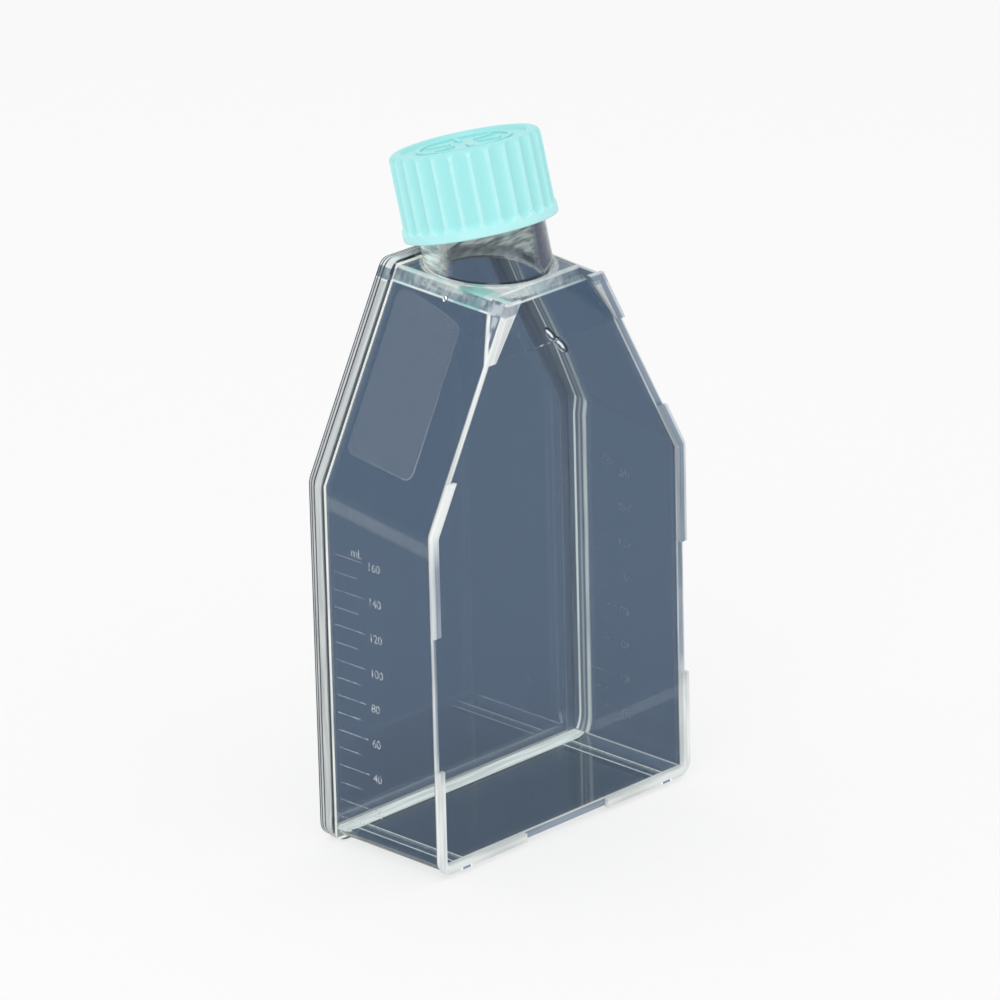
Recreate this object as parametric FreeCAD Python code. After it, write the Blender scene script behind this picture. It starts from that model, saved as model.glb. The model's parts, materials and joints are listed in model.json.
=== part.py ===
import FreeCAD, Part
import math
import os

# Cell culture flask: a clear moulded tub with a canted threaded neck, a welded cover
# plate that closes its back, and a ribbed screw cap with a sealing disc.
#
# Frame: millimetres, +Z up. The flask stands on two foot rails. X runs across its width,
# Y runs from the growth face in front to the cover plate behind. The pieces are built with
# the front lips at Y 0 and are moved at the end so that the origin is the centre of the
# footprint of the whole flask's box.

os.makedirs("parts", exist_ok=True)

Vector = FreeCAD.Vector

# ---- Driving dimensions -------------------------------------------------------------------

# Vessel outline. Heights are counted from the underside of the base wall.
BODY_WIDTH = 78.0
BODY_DEPTH = 36.6
FOLD_HEIGHT_FRONT = 78.1
FOLD_HEIGHT_BACK = 82.6
TOP_HEIGHT_FRONT = 124.2
TOP_HEIGHT_BACK = 126.2
TOP_WIDTH = 28.5
WALL = 1.4
TOP_PLATE = 2.7
BASE_CORNER_RADIUS = 3.0
FOLD_RADIUS = 4.0
TOP_CORNER_RADIUS = 2.0
INNER_BASE_RADIUS = 0.8
SMALLEST_RADIUS = 0.4

# Ramp that leads the growth face back into the top plate, between the two side walls.
RAMP_HEIGHT = 111.8
RAMP_SETBACK = 4.7

# Lips: raised corners of the front rim that keep the growth face off the bench.
LIP_PROUD = 1.0
LIP_SIDE_PROUD = 0.35
LIP_WIDTH = 2.0
TOP_LIP_WIDTH = 3.6
BASE_LIP_ALONG = 26.3
BASE_LIP_UP = 24.0
FOLD_LIP_BELOW = 23.0
FOLD_LIP_ABOVE = 10.5
TOP_LIP_DOWN = 12.0

# Rear flange and the cover plate welded to it, face to face.
FLANGE_PROUD = 1.2
FLANGE_DEPTH = 2.4
COVER_THICKNESS = 1.8
COVER_STEP = 0.2

# Foot rails under the base.
FOOT_HEIGHT = 1.4
FOOT_WIDTH = 2.4
FOOT_INSET = 7.5
FOOT_FRONT_GAP = 1.0
FOOT_BACK_GAP = 0.6

# Neck, leaning back towards the cover plate.
NECK_OUTER_RADIUS = 13.8
NECK_WALL = 2.6
NECK_LEAN_DEG = 14.5
NECK_BELOW_CAP = 8.2
NECK_FRONT_MARGIN = 0.15
NECK_COVER_CLEARANCE = 0.1
MOUTH_CHAMFER = 0.6

# Two-start screw thread shared by the neck and the cap.
THREAD_LEAD = 6.0
THREAD_STARTS = 2
THREAD_DEPTH = 1.0
THREAD_ROOT = 1.4
THREAD_CREST = 0.7
THREAD_CLEARANCE = 0.35
THREAD_SINK = 0.3
NECK_THREAD_LENGTH = 9.0
NECK_THREAD_FROM_MOUTH = 1.5
CAP_THREAD_LENGTH = 7.2
CAP_THREAD_FROM_RIM = 2.2

# Screw cap, built outwards from the thread.
CAP_HEIGHT = 19.1
CAP_WALL = 1.5
CAP_BAND_HEIGHT = 2.4
CAP_BAND_PROUD = 0.35
CAP_SHOULDER_ROUND = 1.7
CAP_TOP_THICKNESS = 2.4
CAP_RECESS_INSET = 3.25
CAP_RECESS_DEPTH = 0.8
CAP_RECESS_FLARE = 0.5
CAP_EDGE_ROUND = 0.35
FLUTE_COUNT = 26
FLUTE_RADIUS = 2.35
FLUTE_DEPTH = 0.75

# Raised ring and bars in the recess of the cap's top.
DIAL_RING_FROM_RIM = 2.8
DIAL_RING_WIDTH = 0.9
DIAL_BAR_COUNT = 6
DIAL_BAR_LENGTH = 5.2
DIAL_BAR_WIDTH = 1.0
DIAL_BAR_START = 3.2
DIAL_RELIEF = 0.45

# Sealing disc between the cap's inner top and the mouth of the neck.
DISC_THICKNESS = 1.2
DISC_CLEARANCE = 0.3

# ---- Values that follow from them ---------------------------------------------------------

FACE_Y = LIP_PROUD
COVER_Y = BODY_DEPTH - COVER_THICKNESS
BASE_Z = FOOT_HEIGHT
RAMP_TOP_Y = FACE_Y + RAMP_SETBACK
NECK_BORE_RADIUS = NECK_OUTER_RADIUS - NECK_WALL
CAP_BORE_RADIUS = NECK_OUTER_RADIUS + THREAD_DEPTH + THREAD_CLEARANCE
CAP_TOP_RADIUS = CAP_BORE_RADIUS + CAP_WALL
CAP_RIM_RADIUS = CAP_TOP_RADIUS + CAP_BAND_PROUD
CAP_RECESS_RADIUS = CAP_TOP_RADIUS - CAP_RECESS_INSET
DIAL_RING_RADIUS = CAP_RECESS_RADIUS - DIAL_RING_FROM_RIM
NECK_IN_CAP = CAP_HEIGHT - CAP_TOP_THICKNESS - DISC_THICKNESS
NECK_LENGTH = NECK_BELOW_CAP + NECK_IN_CAP
LEAN = math.radians(NECK_LEAN_DEG)
REACH = 4.0 * BODY_WIDTH


def top_height(y):
    """Height of the top plate's upper surface at depth y."""
    share = (y - FACE_Y) / (BODY_DEPTH - FACE_Y)
    return BASE_Z + TOP_HEIGHT_FRONT + share * (TOP_HEIGHT_BACK - TOP_HEIGHT_FRONT)


NECK_CENTRE_Y = RAMP_TOP_Y + NECK_FRONT_MARGIN + NECK_OUTER_RADIUS / math.cos(LEAN)
NECK_FOOT = Vector(0, NECK_CENTRE_Y, top_height(NECK_CENTRE_Y))

# Planes of the right shoulder and of the top plate, each as a point and an outward normal.
FOLD_FRONT_POINT = Vector(BODY_WIDTH / 2, FACE_Y, BASE_Z + FOLD_HEIGHT_FRONT)
FOLD_BACK_POINT = Vector(BODY_WIDTH / 2, BODY_DEPTH, BASE_Z + FOLD_HEIGHT_BACK)
TOP_FRONT_POINT = Vector(TOP_WIDTH / 2, FACE_Y, top_height(FACE_Y))
SHOULDER_NORMAL = (FOLD_BACK_POINT - FOLD_FRONT_POINT).cross(TOP_FRONT_POINT - FOLD_FRONT_POINT)
SHOULDER_NORMAL.normalize()
TOP_NORMAL = Vector(0, TOP_HEIGHT_FRONT - TOP_HEIGHT_BACK, BODY_DEPTH - FACE_Y)
TOP_NORMAL.normalize()


# ---- Vessel outline -----------------------------------------------------------------------

def top_z(y, inset):
    """Height at depth y of the top surface moved inwards by inset."""
    return top_height(y) - inset / TOP_NORMAL.z


def shoulder_x(y, z, inset):
    """Half width at (y, z) of the shoulder plane moved inwards by inset."""
    rest = SHOULDER_NORMAL.y * (y - FACE_Y) + SHOULDER_NORMAL.z * (z - FOLD_FRONT_POINT.z)
    return FOLD_FRONT_POINT.x - (rest + inset) / SHOULDER_NORMAL.x


def fold_z(y, inset):
    """Height at depth y where the side wall meets the shoulder, both moved inwards by inset."""
    side = BODY_WIDTH / 2 - inset
    rest = SHOULDER_NORMAL.x * (side - FOLD_FRONT_POINT.x) + SHOULDER_NORMAL.y * (y - FACE_Y)
    return FOLD_FRONT_POINT.z - (rest + inset) / SHOULDER_NORMAL.z


def outline(y, inset, top_inset):
    """Corners of the vessel's outline at depth y, from the lower right up and round to the left."""
    side = BODY_WIDTH / 2 - inset
    low = BASE_Z + inset
    fold = fold_z(y, inset)
    top = top_z(y, top_inset)
    half_top = shoulder_x(y, top, inset)
    right = [(side, low), (side, fold), (half_top, top)]
    left = [(-x, z) for x, z in reversed(right)]
    return [Vector(x, y, z) for x, z in right + left]


def rounded(solid, pairs, radius):
    """Round the edges of a solid that run between the given pairs of corners."""
    edges = []
    for edge in solid.Edges:
        ends = [vertex.Point for vertex in edge.Vertexes]
        for first, last in pairs:
            forwards = ends[0].isEqual(first, 1e-4) and ends[-1].isEqual(last, 1e-4)
            backwards = ends[0].isEqual(last, 1e-4) and ends[-1].isEqual(first, 1e-4)
            if forwards or backwards:
                edges.append(edge)
    return solid.makeFillet(max(radius, SMALLEST_RADIUS), edges)


def outer_radii(inset):
    """Radii at the base, fold and top corners of the outline once it is moved inwards."""
    return [r - inset for r in (BASE_CORNER_RADIUS, FOLD_RADIUS, TOP_CORNER_RADIUS)]


def block(y_low, y_high, inset, top_inset, radii):
    """Solid with the vessel's outline between two depths, moved inwards by an inset."""
    front = outline(y_low, inset, top_inset)
    back = outline(y_high, inset, top_inset)
    faces = [Part.Face(Part.makePolygon(ring + ring[:1])) for ring in (front, back)]
    for index in range(len(front)):
        after = (index + 1) % len(front)
        ring = [front[index], front[after], back[after], back[index], front[index]]
        faces.append(Part.Face(Part.makePolygon(ring)))
    solid = Part.Solid(Part.Shell(faces))
    rails = list(zip(front, back))
    for corner, radius in enumerate(radii):
        solid = rounded(solid, [rails[corner], rails[5 - corner]], radius)
    return solid


def bar_along_x(points):
    """Solid with a given outline in Y and Z that reaches far past both sides of the vessel."""
    ring = [Vector(-REACH, y, z) for y, z in points]
    return Part.Face(Part.makePolygon(ring + ring[:1])).extrude(Vector(2 * REACH, 0, 0))


def in_front_of_ramp(shift):
    """Everything in front of the ramp's outer plane, once that plane is moved back by shift."""
    rise = top_height(RAMP_TOP_Y) - BASE_Z - RAMP_HEIGHT
    length = math.hypot(rise, RAMP_SETBACK)
    back = shift * length / rise
    slope = RAMP_SETBACK / rise
    low_z = BASE_Z + RAMP_HEIGHT - (FACE_Y + REACH) / slope
    high_z = BASE_Z + RAMP_HEIGHT + REACH
    low_y = FACE_Y + back - (FACE_Y + REACH)
    high_y = FACE_Y + back + REACH * slope
    return bar_along_x([(low_y, low_z), (high_y, high_z), (low_y, high_z)])


# ---- Neck and threads, along their own axis with the rim or foot at Z 0 --------------------

def rounded_corner(before, corner, after, radius):
    """Start, middle and end of the arc that rounds off a corner between two straight runs."""
    back = (before - corner).normalize()
    ahead = (after - corner).normalize()
    half = back.getAngle(ahead) / 2
    inwards = (back + ahead).normalize()
    start = corner + back * (radius / math.tan(half))
    middle = corner + inwards * (radius / math.sin(half) - radius)
    end = corner + ahead * (radius / math.tan(half))
    return start, middle, end


def turned(outline_corners):
    """Solid turned about Z from (radius, z) corners; a third number is a corner's rounding."""
    points = [Vector(corner[0], 0, corner[1]) for corner in outline_corners]
    arcs = []
    for index, corner in enumerate(outline_corners):
        point = points[index]
        if len(corner) == 3:
            after = points[(index + 1) % len(points)]
            arcs.append(rounded_corner(points[index - 1], point, after, corner[2]))
        else:
            arcs.append((point, point, point))
    edges = []
    for index, (start, middle, end) in enumerate(arcs):
        if start != end:
            edges.append(Part.Arc(start, middle, end).toShape())
        edges.append(Part.makeLine(end, arcs[(index + 1) % len(arcs)][0]))
    return Part.Face(Part.Wire(edges)).revolve(Vector(0, 0, 0), Vector(0, 0, 1), 360)


def thread(root_radius, crest_radius, start_z, length, phase_z):
    """Helical ridges, one for each start; phase_z moves them along the axis."""
    outward = 1 if crest_radius > root_radius else -1
    foot = root_radius - outward * THREAD_SINK
    foot_half = THREAD_ROOT / 2 + THREAD_SINK * (THREAD_ROOT - THREAD_CREST) / 2 / THREAD_DEPTH
    corners = [
        (foot, -foot_half),
        (crest_radius, -THREAD_CREST / 2),
        (crest_radius, THREAD_CREST / 2),
        (foot, foot_half),
    ]
    ring = [Vector(r, 0, z) for r, z in corners]
    profile = Part.makePolygon(ring + ring[:1])
    helix = Part.Wire(Part.makeHelix(THREAD_LEAD, length, root_radius))
    ridge = helix.makePipeShell([profile], True, True)
    if ridge.Volume < 0:
        ridge.reverse()
    turn = 360.0 * (start_z - phase_z) / THREAD_LEAD
    ridges = []
    for start in range(THREAD_STARTS):
        copy = ridge.copy()
        copy.rotate(Vector(0, 0, 0), Vector(0, 0, 1), turn + 360.0 * start / THREAD_STARTS)
        copy.translate(Vector(0, 0, start_z))
        ridges.append(copy)
    return ridges


def on_neck_axis(shape, along):
    """Put a shape built along Z onto the neck's axis, its Z 0 at a distance along it."""
    placed = shape.copy()
    placed.translate(Vector(0, 0, along))
    placed.rotate(Vector(0, 0, 0), Vector(1, 0, 0), -NECK_LEAN_DEG)
    placed.translate(NECK_FOOT)
    return placed


def neck_solid():
    """Neck without its bore, from inside the top plate up to the mouth."""
    low = -NECK_OUTER_RADIUS
    mouth = NECK_OUTER_RADIUS - MOUTH_CHAMFER
    body = turned([
        (0, low),
        (NECK_OUTER_RADIUS, low),
        (NECK_OUTER_RADIUS, NECK_LENGTH - MOUTH_CHAMFER),
        (mouth, NECK_LENGTH),
        (0, NECK_LENGTH),
    ])
    thread_z = NECK_LENGTH - NECK_THREAD_FROM_MOUTH - NECK_THREAD_LENGTH
    crest = NECK_OUTER_RADIUS + THREAD_DEPTH
    ridges = thread(NECK_OUTER_RADIUS, crest, thread_z, NECK_THREAD_LENGTH, NECK_LENGTH)
    return on_neck_axis(body.fuse(ridges), 0)


def neck_bore():
    """Bore of the neck; its tilted lower end clears the underside of the top plate."""
    below = TOP_PLATE + 2 * NECK_BORE_RADIUS * math.tan(LEAN)
    bore = Part.makeCylinder(NECK_BORE_RADIUS, NECK_LENGTH + 2 * below)
    return on_neck_axis(bore, -below)


# ---- Pieces -------------------------------------------------------------------------------

def base_and_fold_lips():
    """Raised corners of the front rim at the base and round the folds."""
    proud = -LIP_SIDE_PROUD
    inner = LIP_WIDTH + proud
    rim = block(0, FACE_Y, proud, 0, outer_radii(proud))
    window = block(-LIP_WIDTH, FACE_Y + LIP_WIDTH, inner, -LIP_WIDTH, outer_radii(inner))
    frame = rim.cut(window)
    fold = BASE_Z + FOLD_HEIGHT_FRONT
    spans = [
        (BODY_WIDTH / 2 - BASE_LIP_ALONG, -REACH, BASE_Z + BASE_LIP_UP),
        (0, fold - FOLD_LIP_BELOW, fold + FOLD_LIP_ABOVE),
    ]
    pieces = []
    for inner_x, low, high in spans:
        zone = Part.makeBox(REACH, REACH, high - low, Vector(inner_x, -REACH / 2, low))
        piece = frame.common(zone)
        pieces += [piece, piece.mirror(Vector(0, 0, 0), Vector(1, 0, 0))]
    return pieces


def top_lips():
    """Raised edges beside the ramp, which grow wider towards the top plate."""
    low = top_z(0, TOP_LIP_DOWN)
    high = top_z(0, 0)
    corners = [
        (shoulder_x(0, low, -LIP_SIDE_PROUD), low),
        (shoulder_x(0, high, -LIP_SIDE_PROUD), high),
        (shoulder_x(0, high, TOP_LIP_WIDTH - LIP_SIDE_PROUD), high),
        (shoulder_x(0, low, LIP_WIDTH - LIP_SIDE_PROUD), low),
    ]
    ring = [Vector(x, 0, z) for x, z in corners]
    lip = Part.Face(Part.makePolygon(ring + ring[:1])).extrude(Vector(0, FACE_Y, 0))
    return [lip, lip.mirror(Vector(0, 0, 0), Vector(1, 0, 0))]


def foot_rails():
    """Two rails under the base that run from front to back."""
    start = FACE_Y + FOOT_FRONT_GAP
    length = COVER_Y - FOOT_BACK_GAP - start
    rails = []
    for side in (-1, 1):
        centre = side * (BODY_WIDTH / 2 - FOOT_INSET)
        corner = Vector(centre - FOOT_WIDTH / 2, start, 0)
        rails.append(Part.makeBox(FOOT_WIDTH, length, FOOT_HEIGHT + WALL / 2, corner))
    return rails


def make_flask_body():
    """The moulded tub: growth face, walls, shoulder, top plate and neck, open at the back."""
    walls = block(FACE_Y, COVER_Y, 0, 0, outer_radii(0))
    notch = block(-WALL, COVER_Y, WALL, -TOP_PLATE, outer_radii(WALL)).common(in_front_of_ramp(0))
    walls = walls.cut(notch)
    rim = -FLANGE_PROUD
    flange = block(COVER_Y - FLANGE_DEPTH, COVER_Y, rim, rim, outer_radii(rim))
    inner_radii = [INNER_BASE_RADIUS] + outer_radii(WALL)[1:]
    cavity = block(FACE_Y + WALL, COVER_Y + WALL, WALL, TOP_PLATE, inner_radii)
    cavity = cavity.cut(in_front_of_ramp(WALL))
    tub = walls.fuse([flange]).cut(cavity)
    mid_plate = [
        (-REACH, top_z(-REACH, TOP_PLATE / 2)),
        (REACH, top_z(REACH, TOP_PLATE / 2)),
        (REACH, REACH),
        (-REACH, REACH),
    ]
    neck = neck_solid().common(bar_along_x(mid_plate))
    lips = base_and_fold_lips() + top_lips()
    solid = tub.fuse([neck] + lips + foot_rails()).cut(neck_bore())
    return solid.removeSplitter()


def make_cover_plate():
    """Flat plate that closes the back, welded face to face onto the flange."""
    rim = COVER_STEP - FLANGE_PROUD
    plate = block(COVER_Y, BODY_DEPTH, rim, rim, outer_radii(rim))
    room = Part.makeCylinder(NECK_OUTER_RADIUS + NECK_COVER_CLEARANCE, NECK_LENGTH)
    return plate.cut(on_neck_axis(room, 0))


def flutes():
    """Cutters for the finger flutes, rounded at the lower end; they run out on the shoulder."""
    distance = CAP_TOP_RADIUS - FLUTE_DEPTH + FLUTE_RADIUS
    low = CAP_BAND_HEIGHT + FLUTE_RADIUS / 2
    cutters = []
    for index in range(FLUTE_COUNT):
        turn = 2 * math.pi * index / FLUTE_COUNT
        foot = Vector(distance * math.cos(turn), distance * math.sin(turn), low)
        cutter = Part.makeCylinder(FLUTE_RADIUS, CAP_HEIGHT - low, foot)
        cutters.append(cutter.fuse(Part.makeSphere(FLUTE_RADIUS, foot)))
    return cutters


def dial_relief():
    """Raised ring and bars on the floor of the recess in the cap's top."""
    floor = CAP_HEIGHT - CAP_RECESS_DEPTH
    inner = DIAL_RING_RADIUS - DIAL_RING_WIDTH
    ring = Part.makeCylinder(DIAL_RING_RADIUS, DIAL_RELIEF, Vector(0, 0, floor))
    ring = ring.cut(Part.makeCylinder(inner, DIAL_RELIEF, Vector(0, 0, floor)))
    raised = [ring]
    for index in range(DIAL_BAR_COUNT):
        corner = Vector(DIAL_BAR_START, -DIAL_BAR_WIDTH / 2, floor)
        bar = Part.makeBox(DIAL_BAR_LENGTH, DIAL_BAR_WIDTH, DIAL_RELIEF, corner)
        bar.rotate(Vector(0, 0, 0), Vector(0, 0, 1), 360.0 * index / DIAL_BAR_COUNT)
        raised.append(bar)
    return raised


def make_screw_cap():
    """Ribbed cap with its inner thread."""
    inner_top = CAP_HEIGHT - CAP_TOP_THICKNESS
    floor = CAP_HEIGHT - CAP_RECESS_DEPTH
    shell = turned([
        (CAP_BORE_RADIUS, 0),
        (CAP_RIM_RADIUS, 0, CAP_EDGE_ROUND),
        (CAP_RIM_RADIUS, CAP_BAND_HEIGHT, CAP_EDGE_ROUND),
        (CAP_TOP_RADIUS, CAP_BAND_HEIGHT + CAP_BAND_PROUD),
        (CAP_TOP_RADIUS, CAP_HEIGHT, CAP_SHOULDER_ROUND),
        (CAP_RECESS_RADIUS + CAP_RECESS_FLARE, CAP_HEIGHT, CAP_EDGE_ROUND),
        (CAP_RECESS_RADIUS, floor),
        (0, floor),
        (0, inner_top),
        (CAP_BORE_RADIUS, inner_top),
    ])
    shell = shell.cut(flutes()).fuse(dial_relief())
    crest = CAP_BORE_RADIUS - THREAD_DEPTH
    half_pitch = THREAD_LEAD / THREAD_STARTS / 2
    phase = NECK_IN_CAP - half_pitch
    ridges = thread(CAP_BORE_RADIUS, crest, CAP_THREAD_FROM_RIM, CAP_THREAD_LENGTH, phase)
    return on_neck_axis(shell.fuse(ridges), NECK_BELOW_CAP)


def make_sealing_disc():
    """Disc that the cap presses onto the mouth of the neck."""
    disc = Part.makeCylinder(CAP_BORE_RADIUS - DISC_CLEARANCE, DISC_THICKNESS)
    return on_neck_axis(disc, NECK_LENGTH)


# ---- Export -------------------------------------------------------------------------------

NODES = {
    "flask_body": make_flask_body(),
    "cover_plate": make_cover_plate(),
    "screw_cap": make_screw_cap(),
    "sealing_disc": make_sealing_disc(),
}

whole = Part.makeCompound(list(NODES.values())).optimalBoundingBox(False)
shift = Vector(0, -(whole.YMin + whole.YMax) / 2, 0)

for name, shape in NODES.items():
    shape.translate(shift)
    solid = shape.Solids[0] if len(shape.Solids) == 1 else shape
    solid.exportStep("parts/" + name + ".step")
    box = solid.BoundBox
    print(name, "solids", len(shape.Solids), "valid", solid.isValid(), "volume", round(solid.Volume, 1))
    print("   box", [round(v, 2) for v in (box.XMin, box.YMin, box.ZMin, box.XMax, box.YMax, box.ZMax)])

foot = NECK_FOOT + shift
print("shift in Y", round(shift.y, 4))
print("neck foot", [round(v, 4) for v in foot], "lean", NECK_LEAN_DEG, "neck length", NECK_LENGTH)
print("whole", [round(v, 2) for v in (whole.XLength, whole.YLength, whole.ZLength)])
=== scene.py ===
import json
import logging
import math
from dataclasses import dataclass
from enum import Enum
from functools import cached_property, reduce

import bmesh
import bpy
from mathutils import Matrix, Vector


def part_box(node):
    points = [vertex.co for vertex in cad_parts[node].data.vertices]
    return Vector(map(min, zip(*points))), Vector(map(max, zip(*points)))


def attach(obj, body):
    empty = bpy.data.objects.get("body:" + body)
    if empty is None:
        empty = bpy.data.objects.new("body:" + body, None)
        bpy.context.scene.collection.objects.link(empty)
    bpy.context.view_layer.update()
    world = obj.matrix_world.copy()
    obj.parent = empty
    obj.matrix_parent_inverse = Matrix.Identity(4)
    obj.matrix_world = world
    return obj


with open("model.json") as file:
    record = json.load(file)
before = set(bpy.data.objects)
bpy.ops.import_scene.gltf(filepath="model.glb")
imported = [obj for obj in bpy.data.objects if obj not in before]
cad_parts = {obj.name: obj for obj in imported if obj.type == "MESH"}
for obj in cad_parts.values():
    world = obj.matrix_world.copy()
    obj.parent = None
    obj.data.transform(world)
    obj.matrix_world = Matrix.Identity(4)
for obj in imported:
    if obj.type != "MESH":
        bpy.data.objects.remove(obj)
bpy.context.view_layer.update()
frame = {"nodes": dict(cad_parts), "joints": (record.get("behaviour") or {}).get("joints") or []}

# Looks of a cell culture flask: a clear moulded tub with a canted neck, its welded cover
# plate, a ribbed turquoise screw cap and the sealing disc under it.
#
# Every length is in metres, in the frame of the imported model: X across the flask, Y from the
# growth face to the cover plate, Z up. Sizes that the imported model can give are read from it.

MM = 0.001
LOG = logging.getLogger("flask")

Colour = tuple[float, float, float]
Span = tuple[float, ...]
Material = bpy.types.Material
Mesh = bpy.types.Mesh
Node = bpy.types.Node
Outputs = bpy.types.NodeOutputs
Socket = bpy.types.NodeSocket
Tree = bpy.types.NodeTree
Value = float | Socket
BLACK = (0.0, 0.0, 0.0)


def mm(*values: float) -> tuple[float, ...]:
    """Lengths given in millimetres, in metres."""
    return tuple(value * MM for value in values)


def clamped(value: float) -> float:
    """Value held between 0 and 1."""
    return min(max(value, 0.0), 1.0)


class Face(Enum):
    """Faces of a wall."""

    INNER = "inner"
    OUTER = "outer"


class Side(Enum):
    """Side of the flask, as the sign of X."""

    LEFT = -1
    RIGHT = 1


# ---- Node trees ---------------------------------------------------------------------------


class Wiring:
    """Adds nodes to one node tree and joins them; a value is a number or another socket."""

    def __init__(self, tree: Tree) -> None:
        """Keep the tree that receives the nodes."""
        self.tree = tree

    def add(self, kind: str, given: dict | None = None, **settings: object) -> Node:
        """Add a node.

        Args:
            kind: Blender's type name of the node.
            given: Value of each input to set, by the input's name or number.
            **settings: Properties to set on the node.

        Returns:
            The new node.
        """
        node = self.tree.nodes.new(kind)
        for name, value in settings.items():
            setattr(node, name, value)
        self.fill(node, given or {})
        return node

    def fill(self, node: Node, given: dict) -> None:
        """Give some inputs of a node their values.

        Args:
            node: Node to fill.
            given: Socket, number, vector or colour for each input, by its name or number.
        """
        for key, value in given.items():
            socket = node.inputs[key]
            if isinstance(value, Socket):
                self.tree.links.new(value, socket)
            else:
                socket.default_value = (*value, 1.0) if socket.type == "RGBA" else value

    def place(self, group: Tree, given: dict) -> Outputs:
        """Outputs of a node group placed in this tree with the given inputs."""
        return self.add("ShaderNodeGroup", given, node_tree=group).outputs

    def math(self, operation: str, *values: Value) -> Socket:
        """Result of a Math node on one to three values."""
        return self.add("ShaderNodeMath", dict(enumerate(values)), operation=operation).outputs[0]

    def fold(self, operation: str, *values: Value) -> Socket:
        """Result of one operation carried through several values."""
        return reduce(lambda total, value: self.math(operation, total, value), values)

    def times(self, *values: Value) -> Socket:
        """Product of the values."""
        return self.fold("MULTIPLY", *values)

    def most(self, *values: Value) -> Socket:
        """Largest of the values."""
        return self.fold("MAXIMUM", *values)

    def least(self, *values: Value) -> Socket:
        """Smallest of the values."""
        return self.fold("MINIMUM", *values)

    def plus(self, first: Value, second: Value) -> Socket:
        """Sum of two values."""
        return self.math("ADD", first, second)

    def less(self, first: Value, second: Value) -> Socket:
        """First value less the second."""
        return self.math("SUBTRACT", first, second)

    def rest(self, share: Value) -> Socket:
        """What a share leaves of 1."""
        return self.math("SUBTRACT", 1.0, share)

    def scaled(self, value: Value, factor: Value, start: Value) -> Socket:
        """Value times a factor, on top of a start."""
        return self.math("MULTIPLY_ADD", value, factor, start)

    def size(self, value: Value) -> Socket:
        """Value without its sign."""
        return self.math("ABSOLUTE", value)

    def rising(self, value: Value, low: float, high: float, start: float = 0.0) -> Socket:
        """Ramp from 0 at low to 1 at high, both counted from the start; level on both sides."""
        given = {"Value": value, "From Min": start + low, "From Max": start + high}
        return self.add("ShaderNodeMapRange", given).outputs[0]

    def falling(self, value: Value, low: float, high: float, start: float = 0.0) -> Socket:
        """Ramp from 1 at low to 0 at high, both counted from the start; level on both sides."""
        ends = {"From Min": start + low, "From Max": start + high, "To Min": 1.0, "To Max": 0.0}
        return self.add("ShaderNodeMapRange", {"Value": value, **ends}).outputs[0]

    def band(
        self, value: Value, low: float, high: float, blur: float, start: float = 0.0
    ) -> Socket:
        """Mask that is 1 from low to high and falls to 0 over blur on each side."""
        rise = self.rising(value, low - blur, low, start)
        return self.times(rise, self.falling(value, high, high + blur, start))

    def blend(self, share: Value, first: Value | Colour, second: Value | Colour) -> Socket:
        """Mixture of two colours, the first at 0 and the second at 1."""
        given = {0: share, 6: first, 7: second}
        return self.add("ShaderNodeMix", given, data_type="RGBA").outputs[2]

    def choose(self, share: Value, first: Socket, second: Socket) -> Socket:
        """Mixture of two vectors, the first at 0 and the second at 1."""
        given = {0: share, 4: first, 5: second}
        return self.add("ShaderNodeMix", given, data_type="VECTOR").outputs[1]

    def mixed(self, share: Value, first: Socket, second: Socket) -> Socket:
        """Mixture of two shaders, the first at 0 and the second at 1."""
        return self.add("ShaderNodeMixShader", {0: share, 1: first, 2: second}).outputs[0]

    def noise(self, place: Socket, scale: float, detail: float) -> Socket:
        """Value of a noise texture at a place, 0 to 1."""
        given = {"Vector": place, "Scale": scale, "Detail": detail}
        return self.add("ShaderNodeTexNoise", given).outputs[0]

    def vector(self, *values: Value) -> Socket:
        """Vector made of three values."""
        return self.add("ShaderNodeCombineXYZ", dict(enumerate(values))).outputs[0]

    def dot(self, first: Socket, second: Vector) -> Socket:
        """Dot product of two vectors."""
        given = {0: first, 1: second}
        return self.add("ShaderNodeVectorMath", given, operation="DOT_PRODUCT").outputs["Value"]


class Group(Wiring):
    """New shader node group: a position and some numbers go in, and named numbers come out."""

    def __init__(self, name: str, *numbers: str) -> None:
        """Start the group.

        Args:
            name: Name of the group.
            *numbers: Name of each input besides the position.
        """
        super().__init__(bpy.data.node_groups.new(name, "ShaderNodeTree"))
        kinds = {"Position": "NodeSocketVector"} | dict.fromkeys(numbers, "NodeSocketFloat")
        for title, kind in kinds.items():
            self.tree.interface.new_socket(name=title, in_out="INPUT", socket_type=kind)
        self.given = self.add("NodeGroupInput").outputs

    def give(self, results: dict[str, Socket]) -> Tree:
        """Put out the results.

        Args:
            results: Socket of each output by its name.

        Returns:
            The finished group.
        """
        face = self.tree.interface
        for title in results:
            face.new_socket(name=title, in_out="OUTPUT", socket_type="NodeSocketFloat")
        self.add("NodeGroupOutput", results)
        return self.tree


# ---- Sizes --------------------------------------------------------------------------------


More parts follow.
